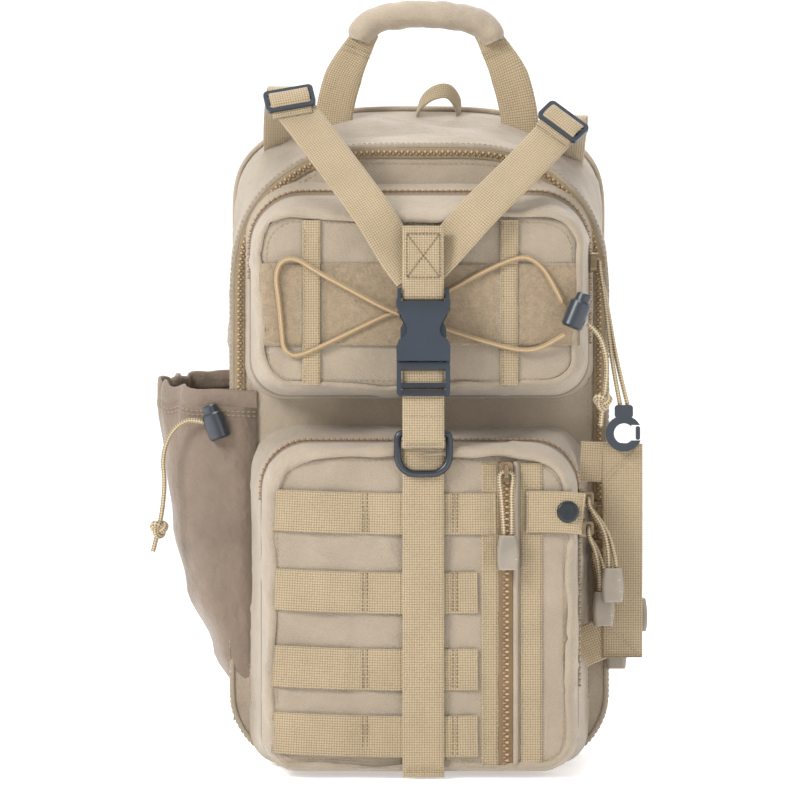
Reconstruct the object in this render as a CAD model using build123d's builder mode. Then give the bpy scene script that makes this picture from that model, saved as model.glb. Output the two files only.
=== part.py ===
"""Small tactical sling pack with a Y-strap over two pockets, in millimetres.

Frame: +X to the right as the pack is seen from the front, +Y towards the back panel, +Z up,
origin at the centre of the face the pack stands on.
"""
import os
from math import atan2, cos, degrees, pi, radians, sin, tan

from build123d import *

os.makedirs("parts", exist_ok=True)

# ---- driving dimensions ------------------------------------------------------------------
web_width = 25.0            # webbing
web_thick = 1.5
cloth = 3.0                 # wall of every fabric shell, lining included
zip_gap = 0.3               # slider over its chain
cord_d = 3.0                # shock cord and pull cords

body_half = 118.0           # main body, half width
body_corner = 45.0
body_front = -12.0          # Y of the front edge of the main gusset
body_rear = 68.0
rear_spring, rear_shoulder, rear_crown = 335.0, (96.0, 396.0), 415.0
front_spring, front_shoulder, front_crown = 290.0, (90.0, 366.0), 387.0
back_pad = 12.0

pocket_root = body_front - cloth        # Y where both pockets are sewn on
upper_front = -63.0                     # Y of the upper pocket's face
upper_base_half, upper_face_half = 107.0, 98.0
lower_front = -85.0
lower_base_half, lower_face_half = 104.0, 91.0
lower_floor, lower_top_base, lower_top_face = 2.0, 211.0, 196.0

strap_x = 2.0               # centre line of the buckle strap
lean = 11.2                 # lean of the buckle line from vertical
yoke_lean = 28.6            # lean of the plane that carries the two yoke straps
side_x = 96.5               # X of the lower side zip where its sliders run
main_zip_x = 111.5
zip_stand = 6.1             # height of a pull cord's centre over the chain

# ---- helpers -----------------------------------------------------------------------------


def save(builder, name):
    """Label a finished piece and write it as its own file."""
    builder.part.label = name
    export_step(builder.part, f"parts/{name}.step")


def front_plane(y):
    """Sketch plane facing the viewer at depth y: sketch X is X, sketch Y is Z."""
    return Plane.XZ.offset(-y)


def domed_face(inset, spring, shoulder, crown):
    """Main body section: flat base, round corners, straight sides, domed top."""
    half = body_half - inset
    corner = body_corner - inset
    shoulder_x = shoulder[0] - 0.7 * inset
    shoulder_z = shoulder[1] - 0.7 * inset
    with BuildLine() as edge:
        Line((corner - half, inset), (half - corner, inset))
        CenterArc((half - corner, inset + corner), corner, -90, 90)
        Line((half, inset + corner), (half, spring))
        top = (0, crown - inset)
        Spline((half, spring), (shoulder_x, shoulder_z), top, tangents=[(0, 1), (-1, 0)])
        Spline(top, (-shoulder_x, shoulder_z), (-half, spring), tangents=[(-1, 0), (0, -1)])
        Line((-half, spring), (-half, inset + corner))
        CenterArc((corner - half, inset + corner), corner, 180, 90)
    make_face(edge.edges())


def front_section(inset):
    domed_face(inset, front_spring, front_shoulder, front_crown)


def rear_section(inset):
    domed_face(inset, rear_spring, rear_shoulder, rear_crown)


def pocket_face(half, floor, top, low_corner, top_corner):
    """Pocket section: a rectangle with its own corner radius below and above."""
    with Locations((0, (floor + top) / 2)):
        Rectangle(2 * half, top - floor)
    fillet(vertices().group_by(Axis.Y)[0], low_corner)
    fillet(vertices().group_by(Axis.Y)[-1], top_corner)


def between(a, b, y, y_a, y_b):
    """Value at depth y on the straight line from a at y_a to b at y_b."""
    return a + (b - a) * (y - y_a) / (y_b - y_a)


def upper_section(y, inset):
    half = between(upper_base_half, upper_face_half, y, pocket_root, upper_front)
    floor = between(228.0, 234.0, y, pocket_root, upper_front)
    top = between(362.0, 340.0, y, pocket_root, upper_front)
    corner = between(36.0, 24.0, y, pocket_root, upper_front)
    pocket_face(half - inset, floor + inset, top - inset, 22.0 - inset, corner - inset)


def lower_section(y, inset):
    half = between(lower_base_half, lower_face_half, y, pocket_root, lower_front)
    floor = between(lower_floor, lower_floor + 3.0, y, pocket_root, lower_front)
    top = between(lower_top_base, lower_top_face, y, pocket_root, lower_front)
    pocket_face(half - inset, floor + inset, top - inset, 20.0 - inset, 28.0 - inset)


def pocket_ring(section, y_face):
    """Hollow gusset from the main body to the pocket's face panel."""
    for inset, mode in ((0.0, Mode.ADD), (cloth, Mode.SUBTRACT)):
        with BuildSketch(front_plane(pocket_root)) as root:
            section(pocket_root, inset)
        with BuildSketch(front_plane(y_face)) as rim:
            section(y_face, inset)
        loft([root.sketch, rim.sketch], mode=mode)


def zip_channel(y_near, y_far, z_low, mode):
    """Slab that holds a zip: everything above z_low between two depths."""
    with Locations((0, (y_near + y_far) / 2, z_low + 250.0)):
        Box(400.0, abs(y_far - y_near), 500.0, mode=mode)


def webbing(points, radii, across, width=web_width, thick=web_thick):
    """Strap with straight runs and arcs, laid along points, its width along across."""
    with BuildLine() as route:
        if len(points) > 2:
            FilletPolyline(*points, radius=radii)
        else:
            Line(*points)
    with BuildSketch(Plane(origin=route.line @ 0, x_dir=across, z_dir=route.line % 0)) as section:
        Rectangle(width, thick)
    sweep(section.sketch, path=route.line)


def arc_radii(points):
    """Radius at each corner of a cord: as large as the two runs beside it allow."""
    spots = [Vector(*point) for point in points]
    radii = []
    for before, here, after in zip(spots, spots[1:], spots[2:]):
        turn = radians((here - before).get_angle(after - here))
        shorter = min((here - before).length, (after - here).length)
        radii.append(0.45 * shorter / tan(turn / 2))
    return radii


def cord(name, points, diameter=cord_d):
    """Round cord: straight runs joined by tangent arcs. Prints its radii and its volume."""
    radii = arc_radii(points)
    with BuildPart() as tube:
        with BuildLine() as route:
            FilletPolyline(*points, radius=radii)
        with BuildSketch(Plane(origin=route.line @ 0, z_dir=route.line % 0)):
            Circle(diameter / 2)
        sweep(path=route.line, transition=Transition.ROUND)
    length = route.wire().length
    ratio = tube.part.volume / (pi * diameter**2 / 4 * length)
    print(name, round(length, 1), "radii", [round(r, 1) for r in radii], "volume", round(ratio, 4))
    save(tube, name)


def slotted_plate(width, height, bar):
    """Strap adjuster outline: a rounded plate with two slots either side of a bar."""
    slot = (height - 3 * bar) / 2
    RectangleRounded(width, height, 3.0)
    with GridLocations(0, slot + bar, 1, 2):
        RectangleRounded(web_width + 1.0, slot, 1.0, mode=Mode.SUBTRACT)


# ---- main body -----------------------------------------------------------------------------

with BuildPart() as main_gusset:
    for inset, mode in ((0.0, Mode.ADD), (cloth, Mode.SUBTRACT)):
        with BuildSketch(front_plane(body_rear)):
            rear_section(inset)
        with BuildSketch(front_plane(body_front)):
            front_section(inset)
        loft(mode=mode)
save(main_gusset, "main_gusset")

with BuildPart() as back_panel:
    for depth, inset in ((0.0, 1.0), (back_pad - 4.0, 1.5), (back_pad, 9.0)):
        with BuildSketch(front_plane(body_rear + depth)):
            rear_section(inset)
    loft(ruled=True)
save(back_panel, "back_panel")

zip_outer, zip_inner = 3.0, 10.0        # insets of the main zip's band
zip_low_left, zip_low_right = 225.0, 66.0


def main_zip_band():
    """Flat band round the arch, down to its own end on each side."""
    front_section(zip_outer)
    with BuildSketch(mode=Mode.PRIVATE) as core:
        front_section(zip_inner)
    add(core.sketch, mode=Mode.SUBTRACT)
    with Locations((-body_half, zip_low_left - 200.0)):
        Rectangle(2 * body_half, 400.0, mode=Mode.SUBTRACT)
    with Locations((body_half, zip_low_right - 200.0)):
        Rectangle(2 * body_half, 400.0, mode=Mode.SUBTRACT)


with BuildPart() as main_front:
    with BuildSketch(front_plane(body_front)):
        front_section(0.0)
    extrude(amount=cloth)
    with BuildSketch(front_plane(body_front)):
        main_zip_band()
    extrude(amount=cloth, mode=Mode.SUBTRACT)
save(main_front, "main_front")

with BuildPart() as main_zip:
    with BuildSketch(front_plane(body_front)):
        main_zip_band()
    extrude(amount=cloth)
save(main_zip, "main_zip")
main_chain_y = body_front - cloth

# ---- pockets -------------------------------------------------------------------------------

upper_zip_near, upper_zip_far, upper_zip_low = -34.0, -28.0, 262.0
with BuildPart() as upper_gusset:
    pocket_ring(upper_section, upper_front + cloth)
    zip_channel(upper_zip_near, upper_zip_far, upper_zip_low, Mode.SUBTRACT)
save(upper_gusset, "upper_gusset")

with BuildPart() as upper_zip:
    pocket_ring(upper_section, upper_front + cloth)
    zip_channel(upper_zip_near, upper_zip_far, upper_zip_low, Mode.INTERSECT)
save(upper_zip, "upper_zip")

with BuildPart() as upper_face:
    with BuildSketch(front_plane(upper_front + cloth)):
        upper_section(upper_front + cloth, 0.0)
    extrude(amount=cloth)
save(upper_face, "upper_face")

lower_zip_near, lower_zip_far, lower_zip_low = -62.0, -56.0, 52.0
with BuildPart() as lower_gusset:
    pocket_ring(lower_section, lower_front + cloth)
    zip_channel(lower_zip_near, lower_zip_far, lower_zip_low, Mode.SUBTRACT)
save(lower_gusset, "lower_gusset")

with BuildPart() as lower_zip:
    pocket_ring(lower_section, lower_front + cloth)
    zip_channel(lower_zip_near, lower_zip_far, lower_zip_low, Mode.INTERSECT)
save(lower_zip, "lower_zip")

with BuildPart() as lower_face:
    with BuildSketch(front_plane(lower_front + cloth)):
        lower_section(lower_front + cloth, 0.0)
    extrude(amount=cloth)
save(lower_face, "lower_face")

# ---- what is sewn flat on the pockets --------------------------------------------------------


def flat_strip(y_back, x_low, x_high, z_low, z_high, thick=web_thick):
    """Strip sewn on a face: its back at y_back, its thickness towards the viewer."""
    with BuildSketch(front_plane(y_back)) as strip:
        with Locations(((x_low + x_high) / 2, (z_low + z_high) / 2)):
            Rectangle(x_high - x_low, z_high - z_low)
    extrude(strip.sketch, amount=thick, dir=(0, -1, 0))


row_left, row_right = -88.5, 34.5
row_heights = (26.0, 66.0, 112.0, 159.5)
with BuildPart() as molle_rows:
    for z in row_heights:
        right = 45.5 if z == row_heights[-1] else row_right
        flat_strip(lower_front, row_left, right, z - web_width / 2, z + web_width / 2)
save(molle_rows, "molle_rows")

field_low, field_high = 260.0, 310.0
strip_left, strip_right = (-71.5, -60.0), (49.0, 59.5)
with BuildPart() as loop_field:
    for x_low, x_high in ((-97.5, strip_left[0]), (strip_left[1], strip_right[0]), (strip_right[1], 97.5)):
        flat_strip(upper_front, x_low, x_high, field_low, field_high)
save(loop_field, "loop_field")

with BuildPart() as webbing_strips:
    for x_low, x_high in (strip_left, strip_right):
        flat_strip(upper_front, x_low, x_high, 236.0, 335.0)
    for x_low, x_high in ((37.0, 47.5), (60.5, 73.5)):
        flat_strip(lower_front, x_low, x_high, 6.0, 146.5, 0.8)
        flat_strip(lower_front, x_low, x_high, 172.5, 190.0, 0.8)
save(webbing_strips, "webbing_strips")

front_zip_x = 51.5
front_chain = 2.0                       # chain stands this far off the face
with BuildPart() as front_zip:
    flat_strip(lower_front, front_zip_x - 3.5, front_zip_x + 3.5, 8.0, 191.0, front_chain)
    flat_strip(lower_front, front_zip_x + 4.2, front_zip_x + 8.5, 8.0, 191.0, 1.4)
save(front_zip, "front_zip")

snap_z = 160.0
snap_hinge_x = 62.5
snap_x, snap_r = 88.5, 6.6
tab_back = lower_front - web_thick
with BuildPart() as snap_tab:
    flat_strip(tab_back, snap_hinge_x, 98.0, snap_z - web_width / 2, snap_z + web_width / 2)
save(snap_tab, "snap_tab")

with BuildPart() as snap_cap:
    with BuildSketch(front_plane(tab_back - web_thick)):
        with Locations((snap_x, snap_z)):
            Circle(snap_r)
    extrude(amount=2.6)
    fillet(faces().sort_by(Axis.Y)[0].edges(), 1.6)
save(snap_cap, "snap_cap")

# ---- buckle line -----------------------------------------------------------------------------

web_gap = 2.2                           # front strap stands this far off the lower face
ring_r = 2.2                            # D-ring wire
ring_fit = 0.1
ring_y = lower_front - web_gap - web_thick - ring_r - ring_fit
ring_z = 207.0
strap_back = lower_front - web_gap

with BuildPart() as front_strap:
    flat_strip(strap_back, strap_x - web_width / 2, strap_x + web_width / 2, 1.0, ring_z)
    with BuildSketch(Plane.YZ.offset(strap_x - web_width / 2)):
        with Locations((ring_y, ring_z)):
            Circle(ring_r + ring_fit + web_thick)
        with BuildLine():
            Polyline(
                (ring_y, ring_z),
                (ring_y - ring_r - ring_fit - web_thick, ring_z),
                (strap_back - web_thick, ring_z - 7.5),
                (strap_back, ring_z - 7.5),
                (strap_back, ring_z),
                close=True,
            )
        make_face()
        with Locations((ring_y, ring_z)):
            Circle(ring_r + ring_fit, mode=Mode.SUBTRACT)
    extrude(amount=web_width)
save(front_strap, "front_strap")

ring_half, ring_drop = 15.5, 24.2
with BuildPart() as d_ring:
    with BuildLine() as ring_route:
        FilletPolyline(
            (strap_x + ring_half, ring_y, ring_z),
            (strap_x + ring_half, ring_y, ring_z - ring_drop),
            (strap_x - ring_half, ring_y, ring_z - ring_drop),
            (strap_x - ring_half, ring_y, ring_z),
            radius=[3.2, 11.0, 11.0, 3.2],
            close=True,
        )
    with BuildSketch(Plane(origin=ring_route.line @ 0, z_dir=ring_route.line % 0)):
        Circle(ring_r)
    sweep(path=ring_route.line)
save(d_ring, "d_ring")

# Local frame of the buckle: sketch X across, sketch Y up along the strap, normal to the front.
strap_plane = Plane(
    origin=(strap_x, ring_y - 7.2, 205.0),
    x_dir=(1, 0, 0),
    z_dir=(0, -cos(radians(lean)), sin(radians(lean))),
)


def edge_plane(u):
    """Plane across the strap at u: sketch X up along the strap, sketch Y to the front."""
    return Plane(
        origin=strap_plane.origin + strap_plane.x_dir * u,
        x_dir=strap_plane.y_dir,
        z_dir=strap_plane.x_dir,
    )


frame_low, frame_top = 25.0, 45.0       # male half along the strap
shell_low, shell_top = 45.4, 82.0       # female half
female_bar = 86.5
plate_half = 5.0                        # female half thickness
cavity_half = 2.7
guide_top = 66.0
bar_r = 1.7

with BuildPart() as buckle_female:
    with BuildSketch(strap_plane.offset(-plate_half)):
        with BuildLine() as shell_side:
            Polyline((0, shell_low), (16, shell_low), (16.2, 54), (14.6, 58.5))
            Spline((14.6, 58.5), (9.8, 63.5), (12.2, 71.0), (15.6, 84.0))
            Polyline((15.6, 84.0), (15.6, 89.5), (13.2, 90.5), (13.2, shell_top), (0, shell_top))
            mirror(about=Plane.YZ)
        make_face()
    extrude(amount=2 * plate_half)
    with BuildSketch(strap_plane.offset(-cavity_half)):
        with Locations((0, (shell_low + 76.0) / 2)):
            Rectangle(28.4, 76.0 - shell_low)
    extrude(amount=2 * cavity_half, mode=Mode.SUBTRACT)
    with BuildSketch(edge_plane(-14.0)):
        with Locations((female_bar, 0)):
            Circle(bar_r)
    extrude(amount=28.0)
save(buckle_female, "buckle_female")

male_half = 2.5
with BuildPart() as buckle_male:
    with BuildSketch(strap_plane.offset(-male_half)):
        with Locations((0, (frame_low + frame_top) / 2)):
            RectangleRounded(32.0, frame_top - frame_low, 2.5)
        with Locations((0, 33.2)):
            Rectangle(web_width + 1.4, 15.0, mode=Mode.SUBTRACT)
    extrude(amount=2 * male_half)
    with BuildSketch(strap_plane.offset(-0.5)):
        for z, height in ((26.4, 3.2), (31.0, 3.0)):
            with Locations((0, z)):
                Rectangle(web_width + 3.0, height)
    extrude(amount=male_half + 0.3)
    with BuildSketch(strap_plane.offset(-1.5)):
        with Locations((0, (frame_top + guide_top) / 2)):
            Rectangle(5.0, guide_top - frame_top)
    extrude(amount=3.0)
    with BuildSketch(strap_plane.offset(-male_half)):
        with Locations((0, 26.0)):
            Rectangle(web_width + 1.4, 5.0)
    extrude(amount=1.9, mode=Mode.SUBTRACT)
save(buckle_male, "buckle_male")

with BuildPart() as buckle_web:
    with BuildSketch(strap_plane.offset(-2.4)):
        with Locations((0, 17.0)):
            Rectangle(web_width, 47.0)
    extrude(amount=web_thick)
save(buckle_web, "buckle_web")

prong_root = frame_top + 1.7
for name, side in (("prong_left", -1), ("prong_right", 1)):
    with BuildPart() as prong:
        with BuildSketch(strap_plane.offset(-2.0)):
            with Locations((side * 10.0, prong_root)):
                Circle(1.5)
            with BuildLine():
                Polyline(
                    (side * 8.5, prong_root),
                    (side * 11.5, prong_root),
                    (side * 11.5, 57.5),
                    (side * 13.7, 59.5),
                    (side * 13.7, 66.0),
                    (side * 11.0, 71.0),
                    (side * 9.0, 71.0),
                    close=True,
                )
            make_face()
        extrude(amount=4.0)
    save(prong, name)

tab_top = 126.0
with BuildPart() as yoke_tab:
    with BuildSketch(edge_plane(-web_width / 2)):
        with Locations(((female_bar + tab_top) / 2, 0)):
            Rectangle(tab_top - female_bar, 3.2)
        with Locations((female_bar, 0)):
            Circle(bar_r + 0.1 + web_thick)
            Circle(bar_r + 0.1, mode=Mode.SUBTRACT)
    extrude(amount=web_width)
save(yoke_tab, "yoke_tab")

# Plane of the two yoke straps, through the top edge of the tab.
yoke_plane = Plane(
    origin=(strap_x, -77.5, 329.5),
    x_dir=(1, 0, 0),
    z_dir=(0, -cos(radians(yoke_lean)), sin(radians(yoke_lean))),
)
yoke_ends = ((-82.0, 92.0), (86.0, 75.0))       # tri-glide centres in that plane
yoke_meet = (0.0, -14.0)
adjuster_tilts = (12.0, -42.0)
with BuildPart() as yoke_straps:
    for level, end in ((-0.75, yoke_ends[0]), (0.85, yoke_ends[1])):
        run = Vector(*end) - Vector(*yoke_meet)
        with BuildSketch(yoke_plane.offset(level)):
            with Locations((yoke_meet[0] + run.X / 2, yoke_meet[1] + run.Y / 2)):
                Rectangle(run.length, web_width, rotation=degrees(atan2(run.Y, run.X)))
            with Locations((0, -47.0)):
                Rectangle(200.0, 100.0, mode=Mode.SUBTRACT)
        extrude(amount=web_thick)
save(yoke_straps, "yoke_straps")

shoulder_x = 52.0
lock_y, lock_z = 113.0, 118.0
with BuildPart() as strap_adjusters:
    for end, tilt in zip(yoke_ends, adjuster_tilts):
        centre = yoke_plane.from_local_coords(Vector(end[0], end[1], 2.6))
        turn = radians(tilt)
        across = yoke_plane.x_dir * cos(turn) + yoke_plane.y_dir * sin(turn)
        with BuildSketch(Plane(origin=centre, x_dir=across, z_dir=yoke_plane.z_dir)):
            slotted_plate(31.0, 15.0, 2.8)
        extrude(amount=3.0)
    for side in (-1, 1):
        with BuildSketch(front_plane(lock_y + 2.0)):
            with Locations((side * shoulder_x, lock_z)):
                slotted_plate(32.0, 24.0, 3.6)
        extrude(amount=4.0)
save(strap_adjusters, "strap_adjusters")

# ---- shoulder straps, anchors, handle --------------------------------------------------------

with BuildPart() as shoulder_straps:
    for side in (-1, 1):
        x = side * shoulder_x
        webbing(
            ((x, 86.5, 392), (x, 104, 388), (x, 122, 350), (x, 126, 260), (x, 118, 132)),
            [12.0, 30.0, 90.0],
            (1, 0, 0),
            56.0,
            11.0,
        )
save(shoulder_straps, "shoulder_straps")

with BuildPart() as strap_anchors:
    for side in (-1, 1):
        x = side * shoulder_x
        webbing(((x, 108.5, 128), (x, 105, 100), (x, 86, 40), (x, 81, 18)), [25.0, 25.0], (1, 0, 0))
    webbing(((-79, -20, 424.5), (-84, -2, 424), (-88, 30, 417)), [25.0], (1, 0, 0))
    webbing(((92, -27, 404), (95, -8, 409), (94, 30, 412)), [25.0], (1, 0, 0))
    webbing(((0, 62, 417), (4, 50, 426), (22, 50, 426), (26, 62, 417)), [5.0, 5.0], (0, 1, 0), 9.0)
save(strap_anchors, "strap_anchors")

handle_y = 45.0
handle_base = 414.0
leg_out, leg_in = 58.0, 41.0            # half spread at the base and at the grip
handle_x = 5.0
grip_low, grip_top = 459.0, 474.0
with BuildPart() as carry_handle:
    for side in (-1, 1):
        webbing(
            (
                (handle_x + side * leg_out, handle_y, handle_base),
                (handle_x + side * leg_in, handle_y, grip_low),
            ),
            [],
            (0, 1, 0),
            2.4,
            web_width,
        )
save(carry_handle, "carry_handle")

leg_run = Vector(leg_out - leg_in, grip_low - handle_base)
lift = 12.0                             # the grip leaves the leg in line with it
step_in = lift * leg_run.X / leg_run.Y
with BuildPart() as handle_grip:
    with BuildLine() as grip_route:
        FilletPolyline(
            (handle_x - leg_in, handle_y, grip_low),
            (handle_x - leg_in + step_in, handle_y, grip_low + lift),
            (handle_x, handle_y, grip_top - 1.0),
            (handle_x + leg_in - step_in, handle_y, grip_low + lift),
            (handle_x + leg_in, handle_y, grip_low),
            radius=[10.0, 60.0, 10.0],
        )
    with BuildSketch(Plane(origin=grip_route.line @ 0, x_dir=(0, 1, 0), z_dir=grip_route.line % 0)):
        Ellipse(11.0, 9.0)
    sweep(path=grip_route.line)
save(handle_grip, "handle_grip")

# ---- shock cord on the upper pocket ----------------------------------------------------------

cord_y = upper_front - web_thick - cord_d / 2 - 0.2
over_y = cord_y - cord_d - 0.2          # level of the strand that crosses in front
cord(
    "bungee",
    (
        (86.5, cord_y - 3.5, 285.5),
        (80.0, cord_y - 0.5, 299.0),
        (73.0, cord_y, 309.0),
        (64.5, cord_y, 314.0),
        (55.0, cord_y, 312.0),
        (36.0, cord_y, 303.5),
        (16.0, cord_y, 292.0),
        (-16.0, cord_y, 280.5),
        (-46.0, cord_y, 266.0),
        (-66.0, cord_y, 256.5),
        (-76.0, cord_y, 253.0),
        (-82.5, cord_y, 257.5),
        (-83.5, cord_y, 268.0),
        (-85.5, cord_y - 0.4, 289.0),
        (-87.5, cord_y - 0.8, 302.0),
        (-84.0, cord_y - 1.2, 311.5),
        (-75.0, cord_y - 1.6, 313.0),
        (-63.0, cord_y - 2.4, 305.0),
        (-41.0, over_y, 293.0),
        (-16.0, over_y, 279.5),
        (14.0, over_y, 270.5),
        (40.0, over_y + 1.6, 262.0),
        (60.0, over_y + 2.4, 257.0),
        (71.0, over_y + 2.0, 257.5),
        (81.0, over_y + 1.0, 262.5),
        (88.0, over_y - 1.0, 267.0),
    ),
)

lock_spot = Vector(94.5, -74.5, 278.5)
lock_axis = Vector(0.38, 0.0, 0.925)    # barrel leans to the right
barrel_r, barrel_long, hood = 6.6, 17.0, 5.0
press = 3.0


def cord_lock(name, button_name, spot, axis):
    """Barrel cord lock: a round body and, above it, the button that is pressed into it."""
    base = Plane(origin=spot, x_dir=(0, 1, 0), z_dir=axis)
    with BuildPart() as barrel:
        with BuildSketch(base.offset(-barrel_long / 2)):
            Circle(barrel_r)
        extrude(amount=barrel_long)
        chamfer(edges().filter_by(GeomType.CIRCLE), 1.2)
        with BuildSketch(base.offset(barrel_long / 2)):
            Circle(barrel_r - 1.9)
        extrude(amount=-(hood + press + 1.0), mode=Mode.SUBTRACT)
    save(barrel, name)
    with BuildPart() as button:
        with BuildSketch(base.offset(barrel_long / 2 - hood)):
            Circle(barrel_r - 2.0)
        extrude(amount=hood + press + 2.0)
        chamfer(edges().filter_by(GeomType.CIRCLE).sort_by(SortBy.RADIUS)[-1:], 0.8)
    save(button, button_name)


cord_lock("bungee_lock", "bungee_button", lock_spot, lock_axis)

cord(
    "bungee_tail",
    (
        (101.5, -74.0, 273.0),
        (107.5, -73.0, 268.0),
        (111.5, -71.0, 259.0),
        (113.5, -69.5, 248.0),
        (112.5, -69.0, 235.0),
        (110.5, -68.5, 222.0),
        (109.5, -68.5, 211.0),
    ),
)

# ---- bottle pocket on the left side ----------------------------------------------------------

bottle_in, bottle_top = -121.0, 232.0
bottle_steps = ((24.0, 132.0, 14.0, 40.0), (70.0, 141.0, 2.0, 56.0), (150.0, 155.0, -10.0, 62.0),
                (bottle_top, 163.0, -12.0, 63.0))


def bottle_section(z, reach, y_near, y_far, inset):
    """One level of the pocket: flat against the pack, rounded outwards."""
    with BuildSketch(Plane.XY.offset(z)) as level:
        with Locations(((bottle_in - reach) / 2, (y_near + y_far) / 2)):
            Rectangle(reach + bottle_in - 2 * inset, y_far - y_near - 2 * inset)
        fillet(vertices().group_by(Axis.X)[0], (reach + bottle_in) * 0.45 - inset * 0.5)
    return level.sketch


with BuildPart() as bottle_pocket:
    loft([bottle_section(*step, 0.0) for step in bottle_steps], ruled=True)
    inside = [(bottle_steps[0][0] + cloth, *bottle_steps[0][1:]), *bottle_steps[1:]]
    loft([bottle_section(*step, cloth) for step in inside], ruled=True, mode=Mode.SUBTRACT)
save(bottle_pocket, "bottle_pocket")

with BuildPart() as bottle_hem:
    for inset, mode in ((-0.6, Mode.ADD), (cloth + 0.6, Mode.SUBTRACT)):
        extrude(bottle_section(*bottle_steps[-1], inset), amount=11.0, dir=(0, 0, 1), mode=mode)
save(bottle_hem, "bottle_hem")

bottle_lock_spot = Vector(-126.0, -20.5, 211.0)
cord_lock("bottle_lock", "bottle_button", bottle_lock_spot, Vector(-0.35, 0.0, 0.94))

cord(
    "bottle_cord",
    (
        (-133.5, -21.0, 213.0),
        (-141.0, -21.5, 215.5),
        (-150.0, -21.0, 211.5),
        (-156.5, -20.0, 202.5),
        (-159.5, -19.0, 190.0),
        (-158.0, -18.5, 177.0),
        (-159.0, -18.0, 163.0),
        (-161.5, -17.5, 148.0),
        (-165.5, -17.0, 133.0),
    ),
)

# ---- grab loop and hook on the right side ----------------------------------------------------

loop_y = -41.0
loop_far, loop_near = 137.0, 99.4
loop_low, loop_high = 67.0, 202.0
with BuildPart() as grab_loop:
    with BuildSketch(front_plane(loop_y)):
        with BuildLine():
            Polyline(
                (loop_near, loop_high),
                (loop_far - 8.0, loop_high),
                (loop_far, loop_high - 8.0),
                (loop_far, loop_low + 10.0),
                (loop_far - 10.0, loop_low),
                (loop_near, loop_low),
                (loop_near, loop_low + web_width),
                (loop_far - web_width, loop_low + web_width),
                (loop_far - web_width, loop_high - web_width),
                (loop_near, loop_high - web_width),
                close=True,
            )
        make_face()
    extrude(amount=2.0)
save(grab_loop, "grab_loop")

hook_x, hook_y, hook_z = 125.0, -46.5, 206.5
hook_out, hook_in = 11.0, 6.2
with BuildPart() as hook_body:
    with BuildSketch(front_plane(hook_y + 2.2)):
        with Locations((hook_x, hook_z)):
            Circle(hook_out)
            Circle(hook_in, mode=Mode.SUBTRACT)
        with Locations((hook_x + 9.0, hook_z + 0.5)):
            Rectangle(9.0, 9.4, mode=Mode.SUBTRACT)
        with Locations((hook_x, hook_z + hook_out + 2.5)):
            RectangleRounded(11.0, 8.0, 2.0)
    extrude(amount=4.4)
save(hook_body, "hook_body")

gate_x, gate_z = hook_x + 8.6, hook_z - 3.2
with BuildPart() as hook_gate:
    with BuildSketch(front_plane(hook_y + 1.6)):
        with Locations((gate_x, gate_z + 3.5)):
            RectangleRounded(2.6, 8.4, 1.2)
    extrude(amount=3.2)
save(hook_gate, "hook_gate")

# ---- zip sliders and their pulls ---------------------------------------------------------------

bail_half = 1.2
slider_places = {
    "front": Plane(origin=(front_zip_x, lower_front - front_chain, 184.0), x_dir=(1, 0, 0), z_dir=(0, -1, 0)),
    "lower_high": Plane(origin=(side_x, -59.0, 167.0), x_dir=(0, 1, 0), z_dir=(1, 0, 0)),
    "lower_low": Plane(origin=(side_x, -59.0, 149.0), x_dir=(0, 1, 0), z_dir=(1, 0, 0)),
    "upper": Plane(origin=(105.0, -31.0, 312.0), x_dir=(0, 1, 0), z_dir=(1, 0, 0)),
    "main_high": Plane(origin=(main_zip_x, main_chain_y, 158.0), x_dir=(1, 0, 0), z_dir=(0, -1, 0)),
    "main_low": Plane(origin=(main_zip_x, main_chain_y, 134.0), x_dir=(1, 0, 0), z_dir=(0, -1, 0)),
}

for name, place in slider_places.items():
    with BuildPart() as slider:
        with BuildSketch(place.offset(zip_gap)):
            RectangleRounded(8.4, 12.0, 2.6)
        extrude(amount=4.0)
        bail = Plane(origin=place.origin - place.x_dir * bail_half, x_dir=place.y_dir, z_dir=place.x_dir)
        with BuildSketch(bail):
            with Locations((0, 6.8)):
                RectangleRounded(8.0, 5.2, 1.6)
            with Locations((0, zip_stand)):
                RectangleRounded(5.2, 3.4, 1.2, mode=Mode.SUBTRACT)
        extrude(amount=2 * bail_half)
    save(slider, f"slider_{name}")

# The middle points of each pull's two strands, from its end up to its slider, and the end's top.
pull_hangs = {
    "front": ((52.5, -93.1, 146.0), ((52.2, -93.1, 158.0), (51.5, -93.1, 172.0))),
    "lower_high": ((117.0, -64.5, 125.0), ((115.8, -62.5, 138.0), (111.5, -60.0, 151.0))),
    "lower_low": ((112.0, -54.8, 110.0), ((111.0, -56.0, 122.0), (107.5, -58.0, 136.0))),
    "main_high": ((134.0, -33.0, 105.0), ((130.0, -31.0, 122.0), (120.5, -27.5, 142.0))),
    "main_low": ((122.0, -21.5, 81.0), ((120.0, -21.5, 97.0), (115.0, -21.5, 115.0))),
    "upper": ((125.0, -46.5, 224.0), ((121.5, -46.5, 240.0), (118.5, -45.0, 256.0),
                                      (116.0, -40.0, 276.0), (113.5, -34.5, 295.0))),
}
strand = 2.3                            # half spacing of the two strands at the moulded end

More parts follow.
